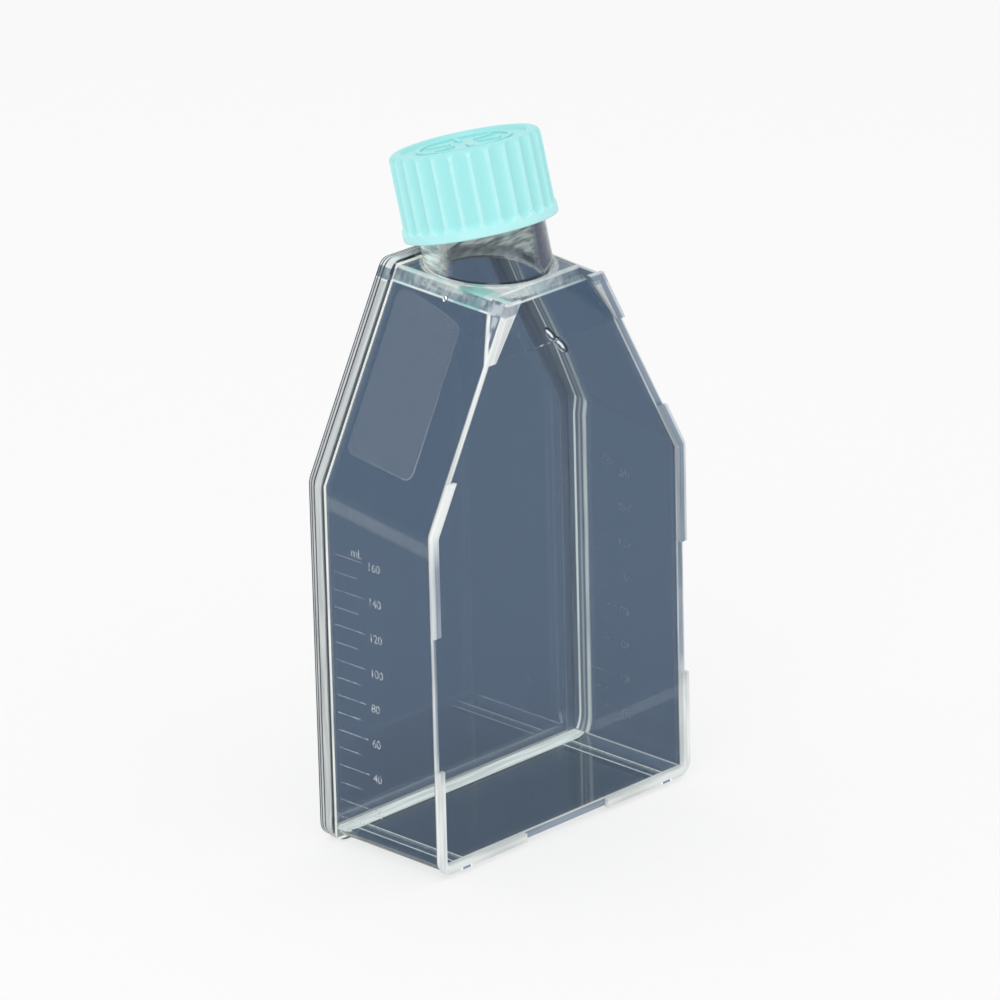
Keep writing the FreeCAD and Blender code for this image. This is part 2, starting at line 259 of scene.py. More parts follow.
@dataclass
class VesselSizes:
    """Sizes of the moulded tub that its finish and its marks follow."""

    foot_height: float = 1.4 * MM
    flange_proud: float = 1.2 * MM
    flange_depth: float = 2.4 * MM
    lip_proud: float = 1.0 * MM
    fold_height_front: float = 78.1 * MM
    fold_height_back: float = 82.6 * MM
    top_height_front: float = 124.2 * MM
    top_height_back: float = 126.2 * MM
    half_top_width: float = 14.25 * MM
    top_plate: float = 2.7 * MM
    wall: float = 1.4 * MM
    ramp_height: float = 111.8 * MM
    ramp_setback: float = 4.7 * MM
    neck_radius: float = 13.8 * MM
    bore_radius: float = 11.2 * MM
    foot_inset: float = 7.5 * MM
    foot_width: float = 2.4 * MM

    def __post_init__(self) -> None:
        """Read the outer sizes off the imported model; depths are counted from the front lips."""
        self.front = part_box("flask_body")[0].y
        self.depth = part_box("cover_plate")[1].y - self.front
        self.seam_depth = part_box("cover_plate")[0].y - self.front
        self.flange_start = self.seam_depth - self.flange_depth
        self.half_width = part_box("flask_body")[1].x - self.flange_proud
        run = self.depth - self.lip_proud
        self.top_slope = (self.top_height_back - self.top_height_front) / run
        self.fold_slope = (self.fold_height_back - self.fold_height_front) / run

    @cached_property
    def shoulder_plane(self) -> tuple[Vector, Vector]:
        """Plane of the right shoulder.

        Returns:
            A point of it, and its outward normal.
        """
        low, front = self.foot_height, self.lip_proud
        fold_front = Vector((self.half_width, front, low + self.fold_height_front))
        fold_back = Vector((self.half_width, self.depth, low + self.fold_height_back))
        top_front = Vector((self.half_top_width, front, low + self.top_height_front))
        normal = (fold_back - fold_front).cross(top_front - fold_front).normalized()
        return fold_front, normal if normal.x > 0 else -normal

    def on_shoulder(self, side: Side, y: float, z: float, proud: float) -> Vector:
        """Point of a shoulder's outer face, or at some distance from it.

        Args:
            side: Which shoulder.
            y: Y of the point.
            z: Z of the point.
            proud: Distance of the point off the face.

        Returns:
            The point.
        """
        point, normal = self.shoulder_plane
        rest = normal.y * (y - self.front - point.y) + normal.z * (z - point.z)
        x = point.x - rest / normal.x
        return Vector((side.value * x, y, z)) + self.shoulder_normal(side) * proud

    def shoulder_normal(self, side: Side) -> Vector:
        """Outward unit normal of one shoulder."""
        normal = self.shoulder_plane[1]
        return Vector((side.value * normal.x, normal.y, normal.z))


def neck_axis() -> tuple[Vector, Vector]:
    """Foot and direction of the neck's axis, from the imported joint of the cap.

    Returns:
        The foot on the top plate, and the unit direction towards the mouth.
    """
    joint = next(item for item in frame["joints"] if item["name"] == "cap_turn")
    return Vector(joint["pos_m"]), Vector(joint["axis"]).normalized()


# ---- Zones of the clear vessel ------------------------------------------------------------
#
# Each zone is worked out at one point of the plastic. A field of two lengths holds the two
# ends of a soft border, one of three the ends of a band and the width of its borders.


class Places:
    """Where a point lies from the vessel's planes, and on the neck's axis."""

    def __init__(self, w: Wiring, sizes: VesselSizes, point: Socket, axis: Outputs) -> None:
        """Work out the distances, which grow inwards from each plane.

        Args:
            w: Wiring of the zones.
            sizes: Sizes of the vessel.
            point: The point itself.
            axis: Its distance from the neck's axis, its height on it and its turn about it.
        """
        self.x, self.y, self.z = w.add("ShaderNodeSeparateXYZ", {0: point}).outputs
        self.across = w.size(self.x)
        self.depth = w.less(self.y, sizes.front)
        self.face = w.less(self.depth, sizes.lip_proud)
        self.ahead = w.less(sizes.seam_depth, self.depth)
        self.side = w.less(sizes.half_width, self.across)
        self.base = w.less(self.z, sizes.foot_height)
        on_plane, normal = sizes.shoulder_plane
        leaning = w.scaled(self.depth, normal.y, w.times(self.across, normal.x))
        leaning = w.scaled(self.z, normal.z, leaning)
        self.shoulder = w.less(normal.dot(on_plane), leaning)
        front_top = sizes.foot_height + sizes.top_height_front - sizes.top_slope * sizes.lip_proud
        self.top = w.less(w.scaled(self.depth, sizes.top_slope, front_top), self.z)
        self.around = w.least(self.side, self.shoulder, self.base)
        self.inside = w.least(self.around, self.top)
        ramp_foot = sizes.foot_height + sizes.ramp_height
        ramp_top = front_top + sizes.top_slope * (sizes.lip_proud + sizes.ramp_setback)
        self.above_ramp = w.less(self.z, ramp_foot)
        lean = -sizes.ramp_setback / (ramp_top - ramp_foot)
        self.ramp = w.scaled(self.above_ramp, lean, self.face)
        self.radius, self.height, self.turn = axis
        diagonal = math.sqrt(0.5)
        self.to_left = w.math("DIVIDE", w.times(w.less(self.y, self.x), diagonal), self.radius)
        self.to_back = w.math("DIVIDE", w.times(w.plus(self.y, self.x), diagonal), self.radius)


@dataclass
class Zone:
    """One zone of the clear vessel, at one point."""

    w: Wiring
    sizes: VesselSizes
    at: Places


@dataclass
class NeckZone(Zone):
    """Neck above the top plate, its foot, and the rim and wall of the bore in the plate."""

    plate_top: Span = mm(-0.3, -0.1)
    outside: Span = mm(1.4, 1.6)
    skin: Span = mm(-0.7, -0.5)
    foot_height: Span = mm(-0.45, 0.3, 0.2)
    foot_reach: Span = mm(-0.4, 0.7, 0.3)
    bore_band: Span = mm(-0.9, 0.2, 0.2)
    bore_reach: Span = mm(0.5, 0.8)
    wall_reach: Span = mm(-0.15, 0.15, 0.1)
    wall_height: Span = mm(-0.2, 2.1, 0.3)
    back_half: Span = (-0.2, 0.3)
    back_fade: float = -0.8
    streaks_back: Span = (0.0, 0.3)
    streaks_left: Span = (0.55, 0.85)
    dark_right: Span = (-0.9, -0.75)

    def __post_init__(self) -> None:
        """Work out the masks."""
        w, s, at = self.w, self.sizes, self.at
        outer, bore = s.neck_radius, s.bore_radius
        reach = w.falling(at.radius, *self.outside, outer)
        self.all = w.times(w.falling(at.top, *self.plate_top), reach)
        self.off = w.rest(self.all)
        self.outer_skin = w.rising(at.radius, *self.skin, outer)
        back = w.rising(at.to_back, *self.back_half)
        reach = w.falling(at.radius, *self.bore_reach, bore)
        # Painted highlights: the bore's rim and wall and the neck's foot get the pale painted
        # layer.
        rim = w.times(w.band(at.top, *self.bore_band, s.top_plate), reach)
        self.bore_rim = w.times(rim, w.scaled(back, self.back_fade, 1.0))
        reach = w.band(at.radius, *self.foot_reach, outer)
        self.foot = w.times(w.band(at.top, *self.foot_height), reach)
        self.at_bore = w.band(at.radius, *self.wall_reach, bore)
        self.bore_wall = w.times(self.at_bore, w.band(at.top, *self.wall_height), back)
        # Painted reflections: strokes on the back and left of the neck.
        left = w.rising(at.to_left, *self.streaks_left)
        self.streaked = w.most(w.rising(at.to_back, *self.streaks_back), left)
        # Painted shade along the neck's right edge.
        self.dark = w.times(self.all, w.falling(at.to_left, *self.dark_right))


@dataclass
class FrontEdges(Zone):
    """Front edges, their lips and the wedges beside the ramp, with painted highlights and shade.
    """

    right_half: Span = mm(-2.0, 2.0)
    near_base: Span = mm(3.5, 6.0)
    reach: float = 0.95 * MM
    reach_right: float = 1.15 * MM
    reach_ramp: float = -0.4 * MM
    reach_border: Span = mm(-0.25, 0.15)
    ramp_start: Span = mm(0.0, 1.0)
    turned: float = 0.5 * MM
    turned_right: float = 0.6 * MM
    turned_border: Span = mm(-0.15, 0.25)
    wedge_face: Span = mm(-0.6, -0.35)
    wedge_depth: Span = mm(1.2, 1.5)
    wedge_reach: Span = mm(0.3, 0.5)
    lip_border: Span = mm(-0.15, -0.02)
    flank_rise: Span = mm(30.0, 46.0)
    waist: Span = mm(30.0, 72.0, 8.0)
    waist_share: float = 0.9
    flank_depth: Span = mm(20.0, 22.0)
    core: Span = mm(0.4, 1.55, 0.2)
    core_share: float = 0.62
    flank_share: float = 0.33
    sill_height: Span = mm(1.5, 1.75)
    sill_share: float = 0.85
    fold_band: Span = mm(2.6, 4.6, 1.0)
    fold_reach: Span = mm(0.2, 0.4)
    fold_share: float = 0.14
    bottom_border: Span = mm(0.25, 0.45)

    def __post_init__(self) -> None:
        """Work out the masks."""
        w, s, at = self.w, self.sizes, self.at
        self.right = w.rising(at.x, *self.right_half)
        self.low = w.falling(at.z, *self.near_base)
        reach = w.scaled(w.most(self.right, self.low), self.reach_right, self.reach)
        on_ramp = w.rising(at.above_ramp, *self.ramp_start)
        reach = w.scaled(on_ramp, self.reach_ramp, reach)
        near_edge = w.falling(w.less(at.around, reach), *self.reach_border)
        turned = w.scaled(self.right, self.turned_right, self.turned)
        from_face = w.less(w.least(at.face, at.ramp), turned)
        near_face = w.falling(from_face, *self.turned_border)
        # Painted highlights along the arrises and lips.
        self.arris = w.times(near_face, near_edge)
        self.lip = w.falling(at.depth, *self.lip_border, s.lip_proud)
        # Painted shade in the wedges beside the ramp.
        self.wedge = w.times(
            w.falling(at.ramp, *self.wedge_face),
            w.rising(at.depth, *self.wedge_depth),
            w.falling(at.around, *self.wedge_reach),
        )
        # Painted shade: the lips on the right above mid height, and a band at the waist, turn
        # slate, most in their core.
        waist = w.times(w.band(at.z, *self.waist), self.waist_share)
        flank = w.most(w.times(self.right, w.rising(at.z, *self.flank_rise)), waist)
        flank = w.times(flank, w.falling(at.depth, *self.flank_depth))
        core = w.band(at.inside, *self.core)
        self.flank = w.times(flank, w.scaled(core, self.core_share, self.flank_share))
        # Painted shade on the low front sill.
        self.sill = w.times(
            self.low,
            w.falling(at.base, *self.sill_height),
            near_face,
            w.rest(self.lip),
            self.sill_share,
        )
        # Painted reflection: a faint pale band under the left fold.
        below_fold = w.less(s.foot_height + s.fold_height_front, at.z)
        below_fold = w.scaled(at.face, s.fold_slope, below_fold)
        self.fold_glow = w.times(
            w.band(below_fold, *self.fold_band),
            w.falling(at.side, *self.fold_reach),
            w.rest(self.right),
            self.fold_share,
        )
        # Painted highlight along the bottom edge.
        self.bottom_edge = w.times(
            w.falling(at.base, *self.bottom_border), w.falling(at.side, *self.bottom_border)
        )


@dataclass
class RearFrame(Zone):
    """Rear flange, and painted reflections of the tub's inner rear edges beside the cover plate.
    """

    front_edges: FrontEdges
    flange_border: Span = mm(-0.2, 0.1)
    flange_reach: Span = mm(0.9, 1.5)
    face_depth: Span = mm(-0.04, 0.04, 0.04)
    face_reach: Span = mm(-0.6, -0.1, 0.1)
    turn_reach: Span = mm(-1.0, 5.0)
    turn_round: float = 1.8 * MM
    bow_heights: Span = mm(79.0, 97.0)
    bow: float = -2.4 * MM
    wall_band: Span = mm(-0.15, 0.15, 0.1)
    wall_start: Span = mm(0.03, 0.12)
    base_top: Span = mm(0.1, 0.3)
    upright_reach: Span = mm(0.1, 0.4)
    line_place: float = 0.7 * MM
    line_place_right: float = 1.2 * MM
    line: Span = mm(0.2, 0.42)
    second_line: Span = mm(3.2, 3.5, 0.3)
    second_share: float = 0.28
    third_line: Span = mm(4.5, 5.3, 0.3)
    third_share: float = 0.55
    slope_share: float = 0.55
    upright_share: float = 0.4
    base_band: Span = mm(0.15, 4.3, 0.2)
    cover_face: Span = mm(-0.06, 0.06, 0.04)
    cover_reach: Span = mm(-0.1, 2.4, 0.3)
    beside_reach: Span = mm(5.4, 5.8)
    line_gap: float = 1.3
    mirror_face: Span = mm(-0.1, 0.1, 0.05)
    mirror_heights: Span = mm(6.4, 19.0, 2.0)
    mirror_border: Span = mm(7.0, 9.0)

    def __post_init__(self) -> None:
        """Work out the masks."""
        w, s, at = self.w, self.sizes, self.at
        right, low = self.front_edges.right, self.front_edges.low
        # Painted highlights on the rear flange and its front face.
        rear = w.rising(at.depth, *self.flange_border, s.flange_start)
        self.flange = w.times(rear, w.falling(at.inside, *self.flange_reach))
        self.behind = w.times(self.flange, right, w.rest(low))
        face = w.band(at.depth, *self.face_depth, s.flange_start)
        self.flange_face = w.times(face, w.band(at.inside, *self.face_reach))

        # Painted reflections of the inner rear edges: bright lines, bowed near the fold and turned
        # round the lower corner.
        from_turn = w.plus(w.less(at.side, s.wall), w.less(at.base, s.wall))
        turning = w.math("POWER", w.falling(from_turn, *self.turn_reach), 2.0)
        rounded = w.scaled(turning, self.turn_round, at.ahead)
        bowed = w.times(right, w.rising(at.z, *self.bow_heights))
        rounded = w.scaled(bowed, self.bow, rounded)
        on_wall = w.band(at.around, *self.wall_band, s.wall)
        on_wall = w.times(on_wall, w.rising(at.ahead, *self.wall_start))
        on_base = w.falling(at.base, *self.base_top, s.wall)
        upright = w.falling(at.side, *self.upright_reach, s.wall)
        place = w.scaled(right, self.line_place_right, self.line_place)
        first = w.falling(w.size(w.less(rounded, place)), *self.line)
        lines = w.times(w.band(rounded, *self.second_line), self.second_share)
        lines = w.scaled(w.band(rounded, *self.third_line), self.third_share, lines)
        lines = w.scaled(lines, right, first)
        lines = w.times(lines, w.scaled(upright, self.upright_share, self.slope_share))
        lines = w.times(lines, w.rest(on_base))
        lines = w.scaled(on_base, w.band(rounded, *self.base_band), lines)
        self.lines = w.times(lines, on_wall)

        # Painted shade: a slate fill on and beside the cover plate, with a faint painted glow
        # beside it.
        beside_wall = w.band(w.least(at.side, at.shoulder), *self.cover_reach, s.wall)
        self.on_cover = w.times(w.band(at.ahead, *self.cover_face), beside_wall, right)
        self.beside_cover = w.times(on_wall, w.falling(rounded, *self.beside_reach))
        fill = w.most(self.on_cover, self.beside_cover)
        self.fill = w.times(fill, right, w.rest(on_base))
        self.bare_fill = w.times(self.fill, w.rest(w.times(self.lines, self.line_gap)))
        off_side = w.most(
            w.falling(at.z, *self.mirror_border), w.rising(at.side, *self.mirror_border)
        )
        self.mirror = w.times(
            w.band(at.ahead, *self.mirror_face), w.band(at.z, *self.mirror_heights), off_side
        )


@dataclass
class TopPlate(Zone):
    """Painted highlights on the top plate's edges and front left corner; stripes along its middle.
    """

    neck: NeckZone
    height: Span = mm(0.2, 0.4)
    edge_reach: Span = mm(0.9, 1.4)
    corner_inset: float = 2.0 * MM
    corner_reach: Span = mm(5.5, 7.0)
    corner_skin: Span = mm(0.3, 0.5)
    middle: Span = mm(0.5, 2.45, 0.25)
    arm_depth: Span = mm(3.0, 10.0, 0.6)
    arm_reach: Span = mm(3.0, 4.0)

    def __post_init__(self) -> None:
        """Work out the masks."""
        w, s, at = self.w, self.sizes, self.at
        inside = w.falling(at.top, *self.height, s.top_plate)
        edges = w.times(inside, w.falling(w.least(at.around, at.ramp), *self.edge_reach))
        corner_x = w.plus(at.x, s.half_top_width - self.corner_inset)
        corner_y = w.less(at.depth, s.ramp_setback + self.corner_inset)
        squares = w.plus(w.times(corner_x, corner_x), w.times(corner_y, corner_y))
        corner = w.times(
            w.falling(w.math("SQRT", squares), *self.corner_reach),
            inside,
            w.falling(at.top, *self.corner_skin),
        )
        self.all = w.times(w.most(edges, corner), self.neck.off)
        # Stripes in the painted highlights along the plate's middle.
        self.striped = w.band(at.top, *self.middle)
        self.off_corner = w.times(self.striped, w.rest(corner))
        # Painted reflection of the cap's hue on a band at the plate's left end.
        left = w.falling(at.x, *self.arm_reach, -s.half_top_width)
        self.arm = w.times(w.band(at.depth, *self.arm_depth, s.ramp_setback), left)


@dataclass
class Feet(Zone):
    """Foot rails under the base: painted highlights on their sides and painted shade on their
    core.
    """

    rail_height: Span = mm(0.1, 0.2)
    side_reach: Span = mm(0.05, 0.4, 0.1)
    core_reach: Span = mm(-0.1, 0.05)
    core_end: Span = mm(-5.0, -4.0)

    def __post_init__(self) -> None:
        """Work out the masks."""
        w, s, at = self.w, self.sizes, self.at
        off_middle = w.size(w.less(at.across, s.half_width - s.foot_inset))
        below = w.falling(at.base, *self.rail_height)
        half = s.foot_width / 2
        self.sides = w.times(w.band(off_middle, *self.side_reach, half), below)
        core = w.falling(off_middle, *self.core_reach, half)
        self.core = w.times(core, below, w.falling(at.depth, *self.core_end, s.depth))


@dataclass
class OuterSkin(Zone):
    """Outer skin of the walls, where slate shade is painted, and painted dark lines round flange
    and cover.
    """

    border: Span = mm(0.6, 1.0)
    back_border: Span = mm(-1.0, -0.4)
    proud: Span = mm(-0.15, 0.05)
    far_out: Span = mm(-0.85, -0.7)
    back_line: Span = mm(-0.35, -0.2)
    seam_line: Span = mm(-0.1, 0.35, 0.12)
    cover_line: Span = mm(0.95, 1.15, 0.12)
    flange_line: Span = mm(-0.1, 0.4, 0.1)

    def __post_init__(self) -> None:
        """Work out the masks."""
        w, s, at = self.w, self.sizes, self.at
        inwards = w.least(at.inside, at.face, at.ramp)
        back = w.rising(at.depth, *self.back_border, s.depth)
        self.all = w.most(w.falling(inwards, *self.border), back)
        # Painted shade: dark lines along the seams round the flange and cover plate.
        flange = w.band(at.depth, *self.flange_line, s.flange_start)
        lines = w.most(
            w.rising(at.depth, *self.back_line, s.depth),
            w.band(at.depth, *self.seam_line, s.seam_depth),
            w.band(at.depth, *self.cover_line, s.seam_depth),
            w.times(w.falling(at.inside, *self.far_out), flange),
        )
        self.seams = w.times(lines, w.falling(at.inside, *self.proud))


@dataclass
class Patterns(Zone):
    """Uneven painted light: strokes, stripes, swirls, and painted reflections in the cap's hue.

    The neck, the top plate and the wedges don't meet, so one noise serves all three.
    """

    neck: NeckZone
    plate: TopPlate
    neck_grain: Span = (1000.0, 2.4, 2.2)
    plate_grain: Span = (700.0, 700.0, 150.0)
    wedge_grain: Span = (900.0, 260.0, 1.0)
    streak_grain: Span = (900.0, 900.0, 70.0)
    hue_grain: Span = (200.0, 200.0, 300.0)
    stroke_range: Span = (0.36, 0.62)
    swirl_range: Span = (0.42, 0.58)
    streak_range: Span = (0.32, 0.68)
    hue_range: Span = (0.5, 0.62)
    hue_share: float = 0.6
    arm_hue: float = 0.35

    def __post_init__(self) -> None:
        """Work out the patterns."""
        w, at, neck, plate = self.w, self.at, self.neck, self.plate
        along, turned, across = self.neck_grain
        twist = w.scaled(at.height, along, w.times(at.turn, turned))
        on_neck = w.vector(twist, w.times(at.turn, across), 0.0)
        place = w.choose(
            plate.all,
            self.stretched(self.wedge_grain, at.depth, at.z, at.x),
            self.stretched(self.plate_grain, at.x, at.y, at.top),
        )
        place = w.choose(w.most(neck.all, neck.at_bore), place, on_neck)
        strokes = w.noise(place, 1.0, 1.0)
        self.stroke = w.rising(strokes, *self.stroke_range)
        self.swirl = w.rising(strokes, *self.swirl_range)
        self.stripe = w.times(w.rest(self.stroke), plate.striped)
        place = w.choose(
            w.most(plate.all, neck.all),
            self.stretched(self.streak_grain, at.inside, at.depth, w.plus(at.across, at.z)),
            self.stretched(self.hue_grain, at.x, at.y, at.top),
        )
        streaks = w.noise(place, 1.0, 0.0)
        self.streak = w.rising(streaks, *self.streak_range)
        hue = w.times(w.rising(streaks, *self.hue_range), self.hue_share)
        self.hue = w.most(hue, plate.arm, w.times(plate.off_corner, self.arm_hue))

    def stretched(self, grain: Span, *place: Socket) -> Socket:
        """Place at which a noise of scale 1 is read, with the grain's scale on each axis."""
        return self.w.vector(*(self.w.times(value, scale) for value, scale in zip(place, grain)))


@dataclass(frozen=True)
class VesselZones:
    """How strongly each zone shows in each mask of the clear vessel."""

    line: float = 1.5
    filled: float = 1.6
    bore: float = 1.1
    neck_rim: float = 0.8
    plate: float = 1.5
    plate_arm: float = -0.35
    plate_stripe: float = -0.3
    arm_dusk: float = 0.55
    stripe_dusk: float = 0.3
    neck_dusk: float = 0.42
    wedge_dusk: float = -0.45
    # Painted shade: darker lines swirled in the wedges, and a slate cast on the cover fill.
    wedge_shade: float = 0.6
    cover_shade: float = 0.12
    beside_glow: float = 0.07
    stroke_glow: float = 0.9
    stroke_share: float = 0.4
    streak_share: float = 0.6
    floorwards: Span = mm(0.6, 1.0)

    def make(self, sizes: VesselSizes, axis: Tree) -> Tree:
        """Build the group.

        Args:
            sizes: Sizes of the vessel.
            axis: Group that finds a point's place on the neck's axis.

        Returns:
            A group from a place to the masks.
        """
        w = Group("Vessel zones")
        position = w.given["Position"]
        at = Places(w, sizes, position, w.place(axis, {"Position": position}))
        neck = NeckZone(w, sizes, at)
        edges = FrontEdges(w, sizes, at)
        rear = RearFrame(w, sizes, at, edges)
        plate = TopPlate(w, sizes, at, neck)
        feet = Feet(w, sizes, at)
        skin = OuterSkin(w, sizes, at)
        pattern = Patterns(w, sizes, at, neck, plate)

        rim = w.most(edges.arris, rear.flange, feet.sides, edges.lip, plate.all, neck.bore_rim)
        rim = w.most(w.times(rim, neck.off), w.times(neck.foot, self.neck_rim))
        filled = w.most(rear.behind, rear.fill, rear.flange_face, feet.core, feet.sides)
        on_arm = w.scaled(plate.off_corner, self.plate_arm, self.plate)
        # Share of the painted layer: highlights and reflections along arrises, lips, rear frame,
        # flange, feet, bore, neck foot, top plate, the fold band and the bottom edge, turned to
        # shade where Dusk is set.
        pale = w.most(
            w.times(w.most(edges.arris, edges.lip), self.line),
            w.times(w.most(filled, neck.bore_rim), self.filled),
            w.times(neck.bore_wall, self.bore),
            w.times(plate.all, w.scaled(pattern.stripe, self.plate_stripe, on_arm)),
            rear.flange,
            edges.fold_glow,
            edges.bottom_edge,
        )
        pale = w.most(
            w.times(pale, neck.off),
            w.times(neck.foot, self.bore),
            w.times(rear.lines, self.line),
        )
        on_neck = w.most(neck.bore_wall, w.times(neck.all, neck.streaked))
        # Painted shade: where the painted layer turns slate.
        dusk = w.most(
            edges.flank,
            rear.behind,
            feet.core,
            rear.bare_fill,
            edges.sill,
            w.times(on_neck, w.scaled(pattern.stroke, -self.neck_dusk, self.neck_dusk)),
            w.times(
                plate.all,
                plate.off_corner,
                w.scaled(pattern.stripe, self.stripe_dusk, self.arm_dusk),
            ),
            w.times(edges.wedge, w.scaled(pattern.swirl, self.wedge_dusk, 1.0)),
        )
        # Painted glow on the rear lines, rail sides, bore rim, flange face, beside the cover and
        # on the neck's strokes.
        glow = w.most(
            rear.lines,
            feet.sides,
            neck.bore_rim,
            w.times(rear.fill, rear.beside_cover, self.beside_glow),
            w.times(neck.all, neck.streaked, pattern.stroke, self.stroke_glow),
            rear.flange_face,
        )
        # Painted shade lines along the seams, on the cover fill and swirled in the wedges.
        in_wedge = w.scaled(pattern.swirl, -self.wedge_shade, self.wedge_shade)
        seam_shade = w.most(
            skin.seams, w.times(rear.on_cover, self.cover_shade), w.times(edges.wedge, in_wedge)
        )
        off_lip = w.rest(w.most(edges.lip, edges.wedge))
        strokes = w.scaled(pattern.stroke, self.stroke_share, self.streak_share)
        # Skin and Floorwards say where the painted far shade goes, Teal where painted reflections
        # of the cap go, Neck Dark where painted shade darkens the neck's right edge.
        masks = {
            "Skin": w.scaled(neck.all, neck.outer_skin, w.times(skin.all, neck.off)),
            "Rim": rim,
            "Pale": pale,
            "Lip": edges.lip,
            "Glow": glow,
            "Dusk": dusk,
            "Mirror": rear.mirror,
            "Floorwards": w.falling(at.base, *self.floorwards),
            "Seam": seam_shade,
            "Neck": neck.all,
            "Teal": w.times(w.most(plate.all, neck.all), pattern.hue, off_lip),
            "Streak": pattern.streak,
            "Neck Streak": w.times(neck.streaked, strokes),
            "Neck Dark": neck.dark,
        }
        return w.give(masks)


@dataclass
class SurfaceGroups:
    """Node groups that the finishes use."""

    sizes: VesselSizes
    mottle_range: Span = (0.3, 0.7)
    grain_detail: float = 2.0

    @cached_property
    def grain(self) -> Tree:
        """Fine uneven grain of moulded plastic.

        Returns:
            A group from a place and two scales to a mottle and a fine height.
        """
        w = Group("Moulded grain", "Fine", "Coarse")
        coarse = w.noise(w.given["Position"], w.given["Coarse"], self.grain_detail)
        fine = w.noise(w.given["Position"], w.given["Fine"], self.grain_detail)
        return w.give({"Mottle": w.rising(coarse, *self.mottle_range), "Height": fine})

    @cached_property
    def axis(self) -> Tree:
        """Place of a point relative to the neck's axis.

        Returns:
            A group from a place to its distance from the axis, its height and its turn.
        """
        w = Group("Place on the neck's axis")
        foot, along = neck_axis()
        given = {0: w.given["Position"], 1: foot}
        from_foot = w.add("ShaderNodeVectorMath", given, operation="SUBTRACT").outputs[0]
        back = w.dot(from_foot, Vector((0, along.z, -along.y)))
        right = w.add("ShaderNodeSeparateXYZ", {0: from_foot}).outputs[0]
        squares = w.plus(w.math("POWER", back, 2.0), w.math("POWER", right, 2.0))
        turn = w.math("ARCTAN2", back, right)
        radius = w.math("SQRT", squares)
        return w.give({"Radius": radius, "Height": w.dot(from_foot, along), "Turn": turn})

    @cached_property
    def zones(self) -> Tree:
        """Group with the masks of the clear vessel."""
        return VesselZones().make(self.sizes, self.axis)


# ---- Finishes -----------------------------------------------------------------------------


class Surface(Wiring):
    """New material with one Principled BSDF, and the shared effects to dress it with."""

    def __init__(self, name: str, groups: SurfaceGroups | None = None) -> None:
        """Start the material.

        Args:
            name: Name of the material.
            groups: Shared surface effects, where it uses them.
        """
        self.material = bpy.data.materials.new(name)
        self.material.use_nodes = True
        super().__init__(self.material.node_tree)
        self.shader = self.tree.nodes["Principled BSDF"]
        self.groups = groups

    @cached_property
    def position(self) -> Socket:
        """Place on the piece, in its own coordinates."""
        return self.add("ShaderNodeTexCoord").outputs["Object"]

    def grain(self, fine: float, coarse: float) -> Outputs:
        """Mottle and height of the moulded grain, at two scales."""
        given = {"Position": self.position, "Fine": fine, "Coarse": coarse}
        return self.place(self.groups.grain, given)

    def bump(self, height: Socket, strength: float, distance: float) -> Socket:
        """Normal that a bump of the given height makes."""
        given = {"Height": height, "Strength": strength, "Distance": distance}
        return self.add("ShaderNodeBump", given).outputs[0]

    def attribute(self, name: str) -> Socket:
        """Number that the mesh carries under a name."""
        return self.add("ShaderNodeAttribute", attribute_name=name).outputs["Fac"]

    def show(self, shader: Socket) -> None:
        """Make a shader the surface of the material."""
        self.fill(self.tree.nodes["Material Output"], {"Surface": shader})


